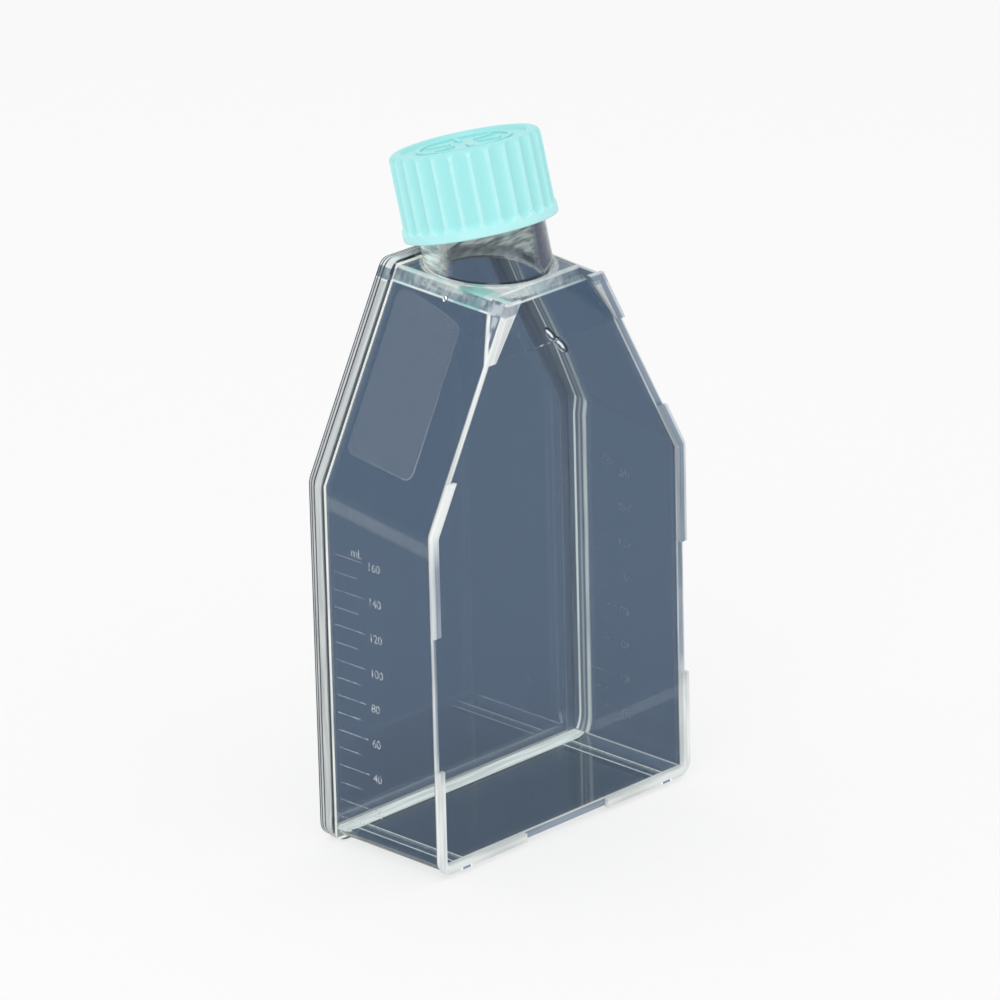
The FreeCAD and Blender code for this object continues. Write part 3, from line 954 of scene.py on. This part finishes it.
@dataclass(frozen=True)
class ClearPlastic:
    """Clear polystyrene: painted slate shade through two walls, painted highlights along its rims.
    """

    near: Colour = (0.83, 0.87, 0.90)
    # Painted shade: far, base_far, neck_far and neck_edge darken what is seen out through the
    # outer skin.
    far: Colour = (0.0125, 0.026, 0.056)
    base_far: Colour = (0.032, 0.058, 0.106)
    neck_near: Colour = (0.72, 0.76, 0.79)
    neck_far: Colour = (0.10, 0.14, 0.18)
    neck_edge: Colour = (0.012, 0.016, 0.035)
    edge_tint: Colour = (0.95, 0.97, 0.97)
    # Painted light: edge_white for highlights and reflections, teal for reflections of the cap,
    # dusk and the seam slate for shade.
    edge_white: Colour = (0.88, 0.92, 0.91)
    seam_shade_slate: Colour = (0.05, 0.075, 0.12)
    teal: Colour = (0.36, 0.70, 0.66)
    dusk: Colour = (0.20, 0.27, 0.37)
    edge_share: float = 0.62
    least_even: float = 0.8
    streak_share: float = 0.3
    neck_share: float = 0.8
    # Painted glow, though the plastic is no lamp.
    glow: float = 0.35
    glow_tint: Colour = (0.95, 1.0, 0.86)
    edge_roughness: float = 0.12
    pale_roughness: float = 0.3
    ior: float = 1.5
    outer_gloss: float = 0.35
    inner_gloss: float = 1.0
    mirror_ior: float = 2.9
    shadow_gap: float = 0.85

    def make(self, groups: SurfaceGroups) -> Material:
        """Build the material.

        Args:
            groups: Shared surface effects.

        Returns:
            The material.
        """
        w = Surface("clear_polystyrene", groups)
        light_path = w.add("ShaderNodeLightPath").outputs
        zone = w.place(groups.zones, {"Position": w.position})
        tint = w.blend(zone["Neck"], self.near, self.neck_near)
        tint = w.blend(zone["Rim"], tint, self.edge_tint)
        # Painted shade: until light has bounced off a matte surface, leaving through the outer
        # skin takes the dark far tint, which makes the walls slate.
        seen = w.math("LESS_THAN", light_path["Diffuse Depth"], 0.5)
        dark = w.times(zone["Skin"], w.rest(zone["Rim"]), seen)
        # The painted far shade is lighter on the neck and over the base, and darkest along the
        # neck's right edge.
        far = w.blend(zone["Neck"], self.far, self.neck_far)
        far = w.blend(zone["Neck Dark"], far, self.neck_edge)
        far = w.blend(zone["Floorwards"], far, self.base_far)
        glass = {
            "Roughness": w.times(zone["Rim"], self.edge_roughness),
            "Transmission Weight": 1.0,
            "IOR": self.ior,
        }
        w.fill(w.shader, glass)
        entering = {
            "Base Color": tint,
            "Specular Tint": (self.outer_gloss,) * 3,
            "Coat Weight": zone["Mirror"],
            "Coat IOR": self.mirror_ior,
        }
        w.fill(w.shader, entering)
        leaving = w.add("ShaderNodeBsdfPrincipled", glass)
        tone = w.blend(dark, tint, far)
        w.fill(leaving, {"Base Color": tone, "Specular Tint": (self.inner_gloss,) * 3})
        backfacing = w.add("ShaderNodeNewGeometry").outputs["Backfacing"]
        clear = w.mixed(backfacing, w.shader.outputs[0], leaving.outputs[0])

        # Painted light: a pale layer stands for highlights and reflections along the rims. It is
        # tinted by painted reflections of the cap, turned slate as painted shade, and crossed by
        # dark painted shade lines.
        colour = w.blend(zone["Teal"], self.edge_white, self.teal)
        colour = w.blend(zone["Dusk"], colour, self.dusk)
        line = w.times(zone["Seam"], w.rest(zone["Lip"]))
        # The layer's emission is a painted glow.
        painted = {
            "Roughness": self.pale_roughness,
            "Base Color": w.blend(line, colour, self.seam_shade_slate),
            "Emission Strength": self.glow,
            "Emission Color": w.blend(zone["Glow"], BLACK, self.glow_tint),
        }
        pale = w.add("ShaderNodeBsdfPrincipled", painted).outputs[0]
        uneven = w.scaled(zone["Streak"], self.streak_share, self.least_even)
        share = w.times(zone["Pale"], uneven, self.edge_share)
        on_neck = w.times(zone["Neck"], zone["Neck Streak"])
        share = w.scaled(on_neck, self.neck_share, share)
        surface = w.mixed(share, clear, pale)

        gap = w.add("ShaderNodeBsdfTransparent", {"Color": (self.shadow_gap,) * 3}).outputs[0]
        w.show(w.mixed(light_path["Is Shadow Ray"], surface, gap))
        return w.material


@dataclass(frozen=True)
class CapPlastic:
    """Turquoise polyethylene: painted highlight on the rib tops, painted shade in the flutes."""

    base: Colour = (0.41, 0.86, 0.86)
    painted_rib_highlight: Colour = (0.53, 0.93, 0.93)
    shaded: Colour = (0.33, 0.80, 0.79)
    rib_radii: Span = mm(16.37, 16.63)
    flute_radii: Span = mm(15.9, 16.3)
    flute_share: float = 0.45
    least_rib_highlight: float = 0.45
    rib_highlight_mottle: float = 0.35
    roughness: float = 0.38
    uneven_roughness: float = 0.12
    grain: Span = (2600.0, 260.0)
    relief: Span = (0.25, 0.03 * MM)

    def make(self, groups: SurfaceGroups) -> Material:
        """Build the material.

        Args:
            groups: Shared surface effects.

        Returns:
            The material.
        """
        w = Surface("turquoise_polyethylene", groups)
        radius = w.place(groups.axis, {"Position": w.position})["Radius"]
        grain = w.grain(*self.grain)
        # Painted shade: the flutes, inside the ribs' radius, take the darker colour.
        flute = w.times(w.falling(radius, *self.flute_radii), self.flute_share)
        colour = w.blend(flute, self.base, self.shaded)
        # Painted highlight: the rib tops turn paler, mottled by the grain.
        rib_highlight = w.scaled(grain["Mottle"], self.rib_highlight_mottle, self.least_rib_highlight)
        rib_highlight = w.times(w.rising(radius, *self.rib_radii), rib_highlight)
        look = {
            "Base Color": w.blend(rib_highlight, colour, self.painted_rib_highlight),
            "Roughness": w.scaled(grain["Mottle"], self.uneven_roughness, self.roughness),
            "Normal": w.bump(grain["Height"], *self.relief),
        }
        w.fill(w.shader, look)
        return w.material


@dataclass(frozen=True)
class LinerFoam:
    """White foamed disc with a fine open grain."""

    base: Colour = (0.84, 0.84, 0.81)
    shaded: Colour = (0.70, 0.71, 0.69)
    roughness: float = 0.75
    grain: Span = (1800.0, 420.0)
    relief: Span = (0.5, 0.05 * MM)

    def make(self, groups: SurfaceGroups) -> Material:
        """Build the material.

        Args:
            groups: Shared surface effects.

        Returns:
            The material.
        """
        w = Surface("white_liner_foam", groups)
        grain = w.grain(*self.grain)
        look = {
            "Base Color": w.blend(grain["Mottle"], self.base, self.shaded),
            "Roughness": self.roughness,
            "Normal": w.bump(grain["Height"], *self.relief),
        }
        w.fill(w.shader, look)
        return w.material


@dataclass(frozen=True)
class RaisedMark:
    """Whitish look of small raised marks, uneven where the relief is low."""

    name: str = "raised_mark"
    base: Colour = (0.70, 0.76, 0.80)
    pale: Colour = (0.88, 0.91, 0.92)
    faintest: float = 0.04
    strongest: float = 0.36
    grain: Span = (4000.0, 900.0)
    roughness: float = 0.3
    uneven_roughness: float = 0.2
    kept_at_top: float = 0.5
    fade_heights: Span = mm(34.0, 62.0)

    def make(self, groups: SurfaceGroups) -> Material:
        """Build the material.

        Args:
            groups: Shared surface effects.

        Returns:
            The material.
        """
        w = Surface(self.name, groups)
        grain = w.grain(*self.grain)
        height = w.add("ShaderNodeSeparateXYZ", {0: w.position}).outputs[2]
        fade = w.falling(height, *self.fade_heights)
        fade = w.scaled(fade, 1.0 - self.kept_at_top, self.kept_at_top)
        share = w.scaled(grain["Mottle"], self.strongest - self.faintest, self.faintest)
        look = {
            "Base Color": w.blend(grain["Mottle"], self.base, self.pale),
            "Roughness": w.scaled(grain["Height"], self.uneven_roughness, self.roughness),
            "Alpha": w.times(share, fade),
        }
        w.fill(w.shader, look)
        return w.material


@dataclass(frozen=True)
class FrostedPatch:
    """Matte writing patch, with a painted highlight on the rim where its relief ends."""

    base: Colour = (0.62, 0.68, 0.72)
    pale: Colour = (0.74, 0.78, 0.80)
    body_alpha: float = 0.030
    grain_alpha: float = 0.025
    rim_alpha: float = 0.5
    roughness: float = 0.7
    grain: Span = (3000.0, 1500.0)

    def make(self, groups: SurfaceGroups) -> Material:
        """Build the material.

        Args:
            groups: Shared surface effects.

        Returns:
            The material.
        """
        w = Surface("frosted_patch", groups)
        grain = w.grain(*self.grain)
        body = w.scaled(grain["Mottle"], self.grain_alpha, self.body_alpha)
        look = {
            "Base Color": w.blend(grain["Mottle"], self.base, self.pale),
            "Roughness": self.roughness,
            "Alpha": w.scaled(w.attribute("rim"), self.rim_alpha, body),
        }
        w.fill(w.shader, look)
        return w.material


@dataclass(frozen=True)
class Lens:
    """Small clear dome: painted slate, glowing painted highlight crescents, painted shade at its
    foot.
    """

    # Painted slate shade, with painted shade at the foot and painted highlight crescents that
    # glow.
    slate: Colour = (0.13, 0.18, 0.24)
    grey: Colour = (0.22, 0.28, 0.34)
    shadow: Colour = (0.035, 0.05, 0.075)
    pale: Colour = (0.92, 0.95, 0.95)
    glow: float = 0.75
    roughness: float = 0.08
    grain: Span = (3000.0, 1100.0)

    def make(self, groups: SurfaceGroups) -> Material:
        """Build the material.

        Args:
            groups: Shared surface effects.

        Returns:
            The material.
        """
        w = Surface("clear_bead", groups)
        glint = w.attribute("glint")
        colour = w.blend(w.grain(*self.grain)["Mottle"], self.slate, self.grey)
        colour = w.blend(w.attribute("flank"), colour, self.shadow)
        look = {
            "Base Color": w.blend(glint, colour, self.pale),
            "Roughness": self.roughness,
            "Emission Strength": self.glow,
            "Emission Color": w.blend(glint, BLACK, self.pale),
        }
        w.fill(w.shader, look)
        return w.material


@dataclass
class Finishes:
    """Every material of the flask."""

    groups: SurfaceGroups

    def __post_init__(self) -> None:
        """Make the materials."""
        numbers = RaisedMark("raised_number", faintest=0.12, strongest=0.55, kept_at_top=0.85)
        self.clear = ClearPlastic().make(self.groups)
        self.cap = CapPlastic().make(self.groups)
        self.liner = LinerFoam().make(self.groups)
        self.marks = RaisedMark().make(self.groups)
        self.numbers = numbers.make(self.groups)
        self.patch = FrostedPatch().make(self.groups)
        self.bead = Lens().make(self.groups)


# ---- Pieces -------------------------------------------------------------------------------


def add_piece(name: str, mesh: Mesh, material: Material) -> None:
    """Put a finished mesh into the scene as a piece that rides on the flask.

    Args:
        name: Name of the piece.
        mesh: Its mesh, in place.
        material: Its finish.
    """
    mesh.name = name
    mesh.materials.clear()
    mesh.materials.append(material)
    piece = bpy.data.objects.new(name, mesh)
    bpy.context.scene.collection.objects.link(piece)
    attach(piece, "flask")
    LOG.info("%s: %d faces on the flask", name, len(mesh.polygons))


def plain_mesh(
    name: str, data: bpy.types.ID, tree: Tree | None = None, values: dict | None = None
) -> Mesh:
    """Plain mesh of a text, or of what a geometry tree makes.

    Args:
        name: Name of the object while it is evaluated.
        data: Text curve, or the mesh that carries the tree.
        tree: Geometry tree to run.
        values: Value of each input of the tree by its name.

    Returns:
        The mesh.
    """
    thing = bpy.data.objects.new(name, data)
    bpy.context.scene.collection.objects.link(thing)
    if tree:
        modifier = thing.modifiers.new(name, "NODES")
        modifier.node_group = tree
        for item in tree.interface.items_tree:
            if item.in_out == "INPUT":
                modifier[item.identifier] = values[item.name]
    bpy.context.view_layer.update()
    graph = bpy.context.evaluated_depsgraph_get()
    mesh = bpy.data.meshes.new_from_object(thing.evaluated_get(graph))
    bpy.data.objects.remove(thing)
    return mesh


def finished(made: bmesh.types.BMesh, name: str) -> Mesh:
    """Mesh with its faces turned outwards, made from a BMesh that is then freed.

    Args:
        made: Faces of the mesh.
        name: Name of the mesh.

    Returns:
        The mesh.
    """
    bmesh.ops.recalc_face_normals(made, faces=made.faces)
    mesh = bpy.data.meshes.new(name)
    made.to_mesh(mesh)
    made.free()
    return mesh


def skin_rings(made: bmesh.types.BMesh, rings: list[list[bmesh.types.BMVert]]) -> None:
    """Join each ring of points to the next with four-sided faces.

    Args:
        made: Mesh that receives the faces.
        rings: Rings with the same number of points.
    """
    for low, high in zip(rings, rings[1:]):
        for index, corner in enumerate(low):
            after = (index + 1) % len(low)
            made.faces.new((corner, low[after], high[after], high[index]))


def dress_nodes(finishes: Finishes) -> None:
    """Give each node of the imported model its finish.

    Args:
        finishes: Materials of the flask.
    """
    chosen = {
        "flask_body": finishes.clear,
        "cover_plate": finishes.clear,
        "screw_cap": finishes.cap,
        "sealing_disc": finishes.liner,
    }
    for name, material in chosen.items():
        for slot in frame["nodes"][name].material_slots:
            slot.material = material
        LOG.info("%s: %s", name, material.name)


@dataclass
class Marks:
    """Marks on the tub, in place on its faces."""

    sizes: VesselSizes
    finishes: Finishes


@dataclass
class Graduations(Marks):
    """Raised volume marks and numbers on both side walls."""

    first_height: float = 6.91 * MM
    step: float = 4.105 * MM
    count: int = 16
    long_tick: float = 9.0 * MM
    short_tick: float = 6.9 * MM
    uneven_tick: float = 0.25 * MM
    tick_back: float = 9.4 * MM
    tick_proud: float = 0.1 * MM
    tick_half_height: float = 0.15 * MM
    tick_rings: int = 4
    tick_sides: int = 8
    number_step: int = 10
    number_front: float = -0.85 * MM
    number_height: float = 2.0 * MM
    number_drop: float = 0.3 * MM
    number_relief: float = 0.06 * MM
    capital_share: float = 0.72
    letter_spacing: float = 0.95
    letter_steps: int = 3
    unit_place: Span = mm(4.0, 70.3)
    seed: int = 7

    def build(self) -> None:
        """Make the ticks and the numbers of both walls."""
        tree = self.tick_tree()
        for side in Side:
            self.add_ticks(tree, side)
            self.add_numbers(side)

    def tick_tree(self) -> Tree:
        """Geometry tree that makes a column of raised ticks.

        Returns:
            The tree, with its sizes as named inputs.
        """
        tree = bpy.data.node_groups.new("Volume ticks", "GeometryNodeTree")
        face = tree.interface
        face.new_socket(name="Geometry", in_out="OUTPUT", socket_type="NodeSocketGeometry")
        kinds = {
            "Int": ("Count", "Seed"),
            "Float": ("Step", "Short", "Long", "Proud", "Half Height", "Forwards", "Unevenness"),
            "Vector": ("Start",),
            "Material": ("Material",),
        }
        for kind, titles in kinds.items():
            for title in titles:
                face.new_socket(name=title, in_out="INPUT", socket_type=f"NodeSocket{kind}")
        w = Wiring(tree)
        given = w.add("NodeGroupInput").outputs

        def made(kind: str, values: dict, **settings: object) -> Socket:
            """First output of a new geometry node."""
            return w.add(f"GeometryNode{kind}", values, **settings).outputs[0]

        column = {
            "Count": given["Count"],
            "Start Location": given["Start"],
            "Offset": w.vector(0.0, 0.0, given["Step"]),
        }
        bar = made("CurvePrimitiveLine", {"End": w.vector(0.0, given["Forwards"], 0.0)})
        bar = made("ResampleCurve", {"Curve": bar, "Count": self.tick_rings})
        ring = made("CurvePrimitiveCircle", {"Resolution": self.tick_sides, "Radius": 1.0})
        section = w.vector(given["Proud"], given["Half Height"], 1.0)
        ring = made("Transform", {"Geometry": ring, "Scale": section})
        rod = made("CurveToMesh", {"Curve": bar, "Profile Curve": ring, "Fill Caps": True})

        every_other = w.math("MODULO", made("InputIndex", {}), 2.0)
        length = w.scaled(every_other, w.less(given["Long"], given["Short"]), given["Short"])
        drift = {2: -1.0, 3: 1.0, "Seed": given["Seed"]}
        drift = w.add("FunctionNodeRandomValue", drift, data_type="FLOAT").outputs[1]
        length = w.plus(length, w.times(drift, given["Unevenness"]))
        copies = {
            "Points": made("MeshLine", column),
            "Instance": rod,
            "Scale": w.vector(1.0, length, 1.0),
        }
        ticks = made("RealizeInstances", {0: made("InstanceOnPoints", copies)})
        ticks = made("SetMaterial", {"Geometry": ticks, "Material": given["Material"]})
        w.add("NodeGroupOutput", {0: ticks})
        return tree

    def add_ticks(self, tree: Tree, side: Side) -> None:
        """Add the ticks of one wall.

        Args:
            tree: Geometry tree of the ticks.
            side: Which wall.
        """
        values = {
            "Count": self.count,
            "Step": self.step,
            "Start": (side.value * self.sizes.half_width, self.tick_back, self.first_height),
            "Short": self.short_tick,
            "Long": self.long_tick,
            "Proud": self.tick_proud,
            "Half Height": self.tick_half_height,
            "Forwards": -1.0,
            "Unevenness": self.uneven_tick,
            "Seed": self.seed + side.value,
            "Material": self.finishes.marks,
        }
        mesh = plain_mesh("ticks", bpy.data.meshes.new("ticks"), tree, values)
        add_piece(f"volume_ticks_{side.name.lower()}", mesh, self.finishes.marks)

    def add_numbers(self, side: Side) -> None:
        """Add the numbers and the unit of one wall.

        Args:
            side: Which wall.
        """
        together = bmesh.new()
        half = self.number_height / 2
        for index in range(1, self.count, 2):
            height = self.first_height + index * self.step - self.number_drop - half
            label = str(self.number_step * (index + 1))
            self.add_label(together, side, label, self.number_front, height)
        back, height = self.unit_place
        self.add_label(together, side, "mL", back, height - half)
        mesh = bpy.data.meshes.new("numbers")
        together.to_mesh(mesh)
        together.free()
        add_piece(f"volume_numbers_{side.name.lower()}", mesh, self.finishes.numbers)

    def add_label(
        self, together: bmesh.types.BMesh, side: Side, words: str, back: float, low: float
    ) -> None:
        """Add one raised label, read from outside the flask.

        Args:
            together: Mesh that collects the labels.
            side: Which wall.
            words: Text of the label.
            back: Y of the end of the label that is nearer to the flange.
            low: Z of the foot of the letters.
        """
        curve = bpy.data.curves.new("label", "FONT")
        curve.body = words
        curve.size = self.number_height / self.capital_share
        curve.resolution_u = self.letter_steps
        curve.extrude = self.number_relief
        curve.space_character = self.letter_spacing
        curve.align_x = "LEFT" if side is Side.LEFT else "RIGHT"
        mesh = plain_mesh("label", curve)
        axes = Vector((0, side.value, 0)), Vector((0, 0, 1)), Vector((side.value, 0, 0))
        place = Matrix.Translation((side.value * self.sizes.half_width, back, low))
        mesh.transform(place @ Matrix(axes).transposed().to_4x4())
        together.from_mesh(mesh)
        bpy.data.meshes.remove(mesh)


@dataclass
class WritingPatch(Marks):
    """Frosted patch on the left shoulder, slightly proud of it, left bare."""

    corners: tuple[Span, ...] = (
        mm(8.8, 124.0),
        mm(-1.8, 122.0),
        mm(-10.6, 119.4),
        mm(-10.8, 88.4),
        mm(8.7, 90.8),
    )
    corner_radius: float = 2.2 * MM
    arc_steps: int = 6
    rim_width: float = 0.22 * MM
    relief: float = 0.06 * MM
    sunk: float = 0.02 * MM
    # Painted highlight: the rim shows bright along the patch's lower front edge.
    bright_front: float = -6.0 * MM
    bright_top: float = 110.0 * MM
    bright_fade: float = 4.0 * MM
    faint_rim: float = 0.12

    def build(self) -> None:
        """Make the patch."""
        outer = self.rounded([Vector(corner) for corner in self.corners])
        inner = self.inset(outer, self.rim_width)
        made = bmesh.new()
        rim_layer = made.verts.layers.float.new("rim")
        rings = []
        edges = ((outer, -self.sunk, 0), (outer, self.relief / 2, 1), (inner, self.relief, 0))
        for ring, proud, rim in edges:
            row = []
            for y, z in ring:
                vertex = made.verts.new(self.sizes.on_shoulder(Side.LEFT, y, z, proud))
                vertex[rim_layer] = rim * self.rim_strength(y, z)
                row.append(vertex)
            rings.append(row)
        skin_rings(made, rings)
        made.faces.new(rings[-1])
        made.faces.new(list(reversed(rings[0])))
        add_piece("writing_patch", finished(made, "patch"), self.finishes.patch)

    def rim_strength(self, y: float, z: float) -> float:
        """How much the painted highlight on the rim shows: clearly along the lower front edge,
        else hardly.
        """
        front = clamped((self.bright_front - y) / self.bright_fade)
        return max(front * clamped((self.bright_top - z) / self.bright_fade), self.faint_rim)

    def rounded(self, corners: list[Vector]) -> list[Vector]:
        """Outline with each corner replaced by an arc.

        Args:
            corners: Corners of the outline as (y, z).

        Returns:
            Points along the rounded outline.
        """
        points = []
        for index, corner in enumerate(corners):
            back = (corners[index - 1] - corner).normalized()
            ahead = (corners[(index + 1) % len(corners)] - corner).normalized()
            reach = self.corner_radius / math.tan(back.angle(ahead) / 2)
            start, end = corner + back * reach, corner + ahead * reach
            for step in range(self.arc_steps + 1):
                t = step / self.arc_steps
                points.append(start * (1 - t) ** 2 + corner * (2 * t * (1 - t)) + end * t**2)
        return points

    def inset(self, ring: list[Vector], width: float) -> list[Vector]:
        """Outline moved inwards.

        Args:
            ring: Points of the outline as (y, z).
            width: Distance to move.

        Returns:
            The moved points.
        """
        centre = sum(ring, Vector((0, 0))) / len(ring)
        moved = []
        for index, point in enumerate(ring):
            along = (ring[(index + 1) % len(ring)] - ring[index - 1]).normalized()
            across = Vector((-along.y, along.x))
            if across.dot(centre - point) < 0:
                across = -across
            moved.append(point + across * width)
        return moved


@dataclass(frozen=True)
class Bead:
    """Small oval dome on a shoulder: its place as (y, z), and half its width and height."""

    name: str
    side: Side
    face: Face
    place: Span
    reach: Span
    proud: float


@dataclass
class Beads(Marks):
    """Small round gate marks on the shoulders."""

    beads: tuple[Bead, ...] = (
        Bead("gate_bead_rear", Side.RIGHT, Face.INNER, mm(8.8, 101.2), mm(1.6, 2.1), 0.7 * MM),
        Bead("gate_bead_front", Side.RIGHT, Face.INNER, mm(6.5, 99.3), mm(1.7, 2.3), 0.7 * MM),
        Bead("gate_pip", Side.LEFT, Face.OUTER, mm(-4.2, 123.6), mm(0.65, 0.75), 0.35 * MM),
    )
    segments: int = 28
    rings: int = 10
    sunk: float = 0.25 * MM
    # Painted highlight crescents, and painted shade at the foot through the flank.
    glint_turn: float = 2.3
    glint_spread: float = 0.62
    glint_width: float = 0.26
    glint_strength: float = 1.6
    glint_ends: Span = (0.35, 0.75)
    flank_spread: Span = (0.8, 0.92)

    def build(self) -> None:
        """Make the pair of oval beads on the right and the single pip on the left."""
        for bead in self.beads:
            self.add_bead(bead)

    def glint(self, turn: float, spread: float) -> float:
        """Strength of the two painted highlight crescents at a place of a dome.

        Args:
            turn: Direction of the place from the centre.
            spread: Its distance from the centre, 1 at the foot.

        Returns:
            Strength, 0 to 1.
        """
        low, high = self.glint_ends
        along = (abs(math.cos(turn - self.glint_turn)) - low) / (high - low)
        ring = 1.0 - abs(spread - self.glint_spread) / self.glint_width
        return clamped(along) * clamped(ring * self.glint_strength)

    def add_bead(self, bead: Bead) -> None:
        """Add one oval dome with a closed underside.

        Args:
            bead: The dome.
        """
        outwards = self.sizes.shoulder_normal(bead.side)
        outer = bead.face is Face.OUTER
        normal = outwards if outer else -outwards
        centre = self.sizes.on_shoulder(bead.side, *bead.place, 0.0 if outer else -self.sizes.wall)
        up_slope = (Vector((0, 0, 1)) - normal * normal.z).normalized()
        back = normal.cross(up_slope)
        made = bmesh.new()
        glint = made.verts.layers.float.new("glint")
        flank = made.verts.layers.float.new("flank")
        foot, top = self.flank_spread
        rows = []
        for ring in range(1, 2 * self.rings):
            angle = math.pi / 2 * (ring / self.rings - 1)
            spread = math.cos(angle)
            height = bead.proud * math.sin(angle) if angle > 0 else -self.sunk
            row = []
            for segment in range(self.segments):
                turn = 2 * math.pi * segment / self.segments
                across, along = bead.reach[0] * math.cos(turn), bead.reach[1] * math.sin(turn)
                flat = back * across + up_slope * along
                vertex = made.verts.new(centre + flat * spread + normal * height)
                # Painted highlight and painted shade carried by the vertices.
                vertex[glint] = self.glint(turn, spread)
                vertex[flank] = clamped((spread - foot) / (top - foot))
                row.append(vertex)
            rows.append(row)
        skin_rings(made, rows)
        for row, height in ((rows[0], -self.sunk), (rows[-1], bead.proud)):
            tip = made.verts.new(centre + normal * height)
            for index, corner in enumerate(row):
                made.faces.new((corner, row[(index + 1) % self.segments], tip))
        mesh = finished(made, bead.name)
        mesh.shade_smooth()
        add_piece(bead.name, mesh, self.finishes.bead)


# ---- Studio -------------------------------------------------------------------------------


@dataclass
class Studio:
    """Pale floor, soft light and the camera."""

    floor_half: float = 3.0
    floor_gap: float = 0.03 * MM
    floor_colour: Colour = (0.96, 0.96, 0.96)
    floor_roughness: float = 0.9
    floor_lift: float = 0.6
    world_fill: float = 0.8
    key_power: float = 9.0
    key_size: float = 1.2
    key_place: Span = (-1.0, -0.6, 1.6)
    azimuth: float = math.radians(-45.062)
    elevation: float = math.radians(20.773)
    roll: float = math.radians(-1.419)
    distance: float = 1.66946
    target: Span = (-0.0001194, -0.0029002, 0.072667)
    lens: float = 276.27
    sensor: float = 36.0
    clip: Span = (0.1, 20.0)
    bounces: int = 9
    soft_bounces: int = 2

    def build(self) -> None:
        """Make the floor, the world, the light and the camera."""
        self.add_floor()
        self.add_world()
        self.add_key()
        self.add_camera()
        scene = bpy.context.scene
        scene.view_settings.view_transform = "Standard"
        scene.cycles.max_bounces = self.bounces
        scene.cycles.diffuse_bounces = self.soft_bounces
        scene.cycles.use_light_tree = False

    def add_object(self, name: str, data: bpy.types.ID) -> bpy.types.Object:
        """Put some data into the scene as an object.

        Args:
            name: Name of the object.
            data: Mesh, lamp or camera.

        Returns:
            The object.
        """
        thing = bpy.data.objects.new(name, data)
        bpy.context.scene.collection.objects.link(thing)
        return thing

    def add_floor(self) -> None:
        """Add the floor, which looks white to the camera but keeps the shadow."""
        half, level = self.floor_half, -self.floor_gap
        corners = ((-half, -half), (half, -half), (half, half), (-half, half))
        mesh = bpy.data.meshes.new("floor")
        mesh.from_pydata([(x, y, level) for x, y in corners], [], [(0, 1, 2, 3)])
        w = Surface("studio_floor")
        w.fill(w.shader, {"Base Color": self.floor_colour, "Roughness": self.floor_roughness})
        white = w.add("ShaderNodeEmission").outputs[0]
        to_camera = w.add("ShaderNodeLightPath").outputs["Is Camera Ray"]
        w.show(w.mixed(w.times(to_camera, self.floor_lift), w.shader.outputs[0], white))
        mesh.materials.append(w.material)
        self.add_object("studio_floor", mesh)
        LOG.info("studio_floor: stage")

    def add_world(self) -> None:
        """Add the white surroundings: full white to the eye, in gloss and through the plastic."""
        world = bpy.data.worlds.new("studio")
        world.use_nodes = True
        bpy.context.scene.world = world
        w = Wiring(world.node_tree)
        rays = w.add("ShaderNodeLightPath").outputs
        kinds = ("Camera", "Glossy", "Transmission")
        seen = w.most(*(rays[f"Is {kind} Ray"] for kind in kinds))
        strength = w.scaled(seen, 1.0 - self.world_fill, self.world_fill)
        background = world.node_tree.nodes["Background"]
        w.fill(background, {"Color": (1.0, 1.0, 1.0), "Strength": strength})

    def add_key(self) -> None:
        """Add the one large soft lamp."""
        lamp = bpy.data.lights.new("key", "AREA")
        lamp.energy = self.key_power
        lamp.size = self.key_size
        key = self.add_object("key", lamp)
        key.location = self.key_place
        aim = Vector(self.target) - Vector(self.key_place)
        key.rotation_euler = aim.to_track_quat("-Z", "Y").to_euler()

    def add_camera(self) -> None:
        """Add the camera."""
        level = math.cos(self.elevation)
        across, along = math.cos(self.azimuth), math.sin(self.azimuth)
        back = Vector((along * level, -across * level, math.sin(self.elevation)))
        right = Vector((across, along, 0))
        up = back.cross(right)
        turned_right = right * math.cos(self.roll) + up * math.sin(self.roll)
        turned_up = up * math.cos(self.roll) - right * math.sin(self.roll)
        lens = bpy.data.cameras.new("camera")
        lens.lens = self.lens
        lens.sensor_width = self.sensor
        lens.clip_start, lens.clip_end = self.clip
        camera = self.add_object("camera", lens)
        placed = Matrix((turned_right, turned_up, back)).transposed().to_4x4()
        placed.translation = Vector(self.target) + back * self.distance
        camera.matrix_world = placed
        bpy.context.scene.camera = camera


def main() -> None:
    """Build every sub-assembly in order."""
    logging.basicConfig(level=logging.INFO, format="%(name)s %(message)s")
    sizes = VesselSizes()
    finishes = Finishes(SurfaceGroups(sizes))
    dress_nodes(finishes)
    Graduations(sizes, finishes).build()
    WritingPatch(sizes, finishes).build()
    Beads(sizes, finishes).build()
    Studio().build()


if __name__ == "__main__":
    main()
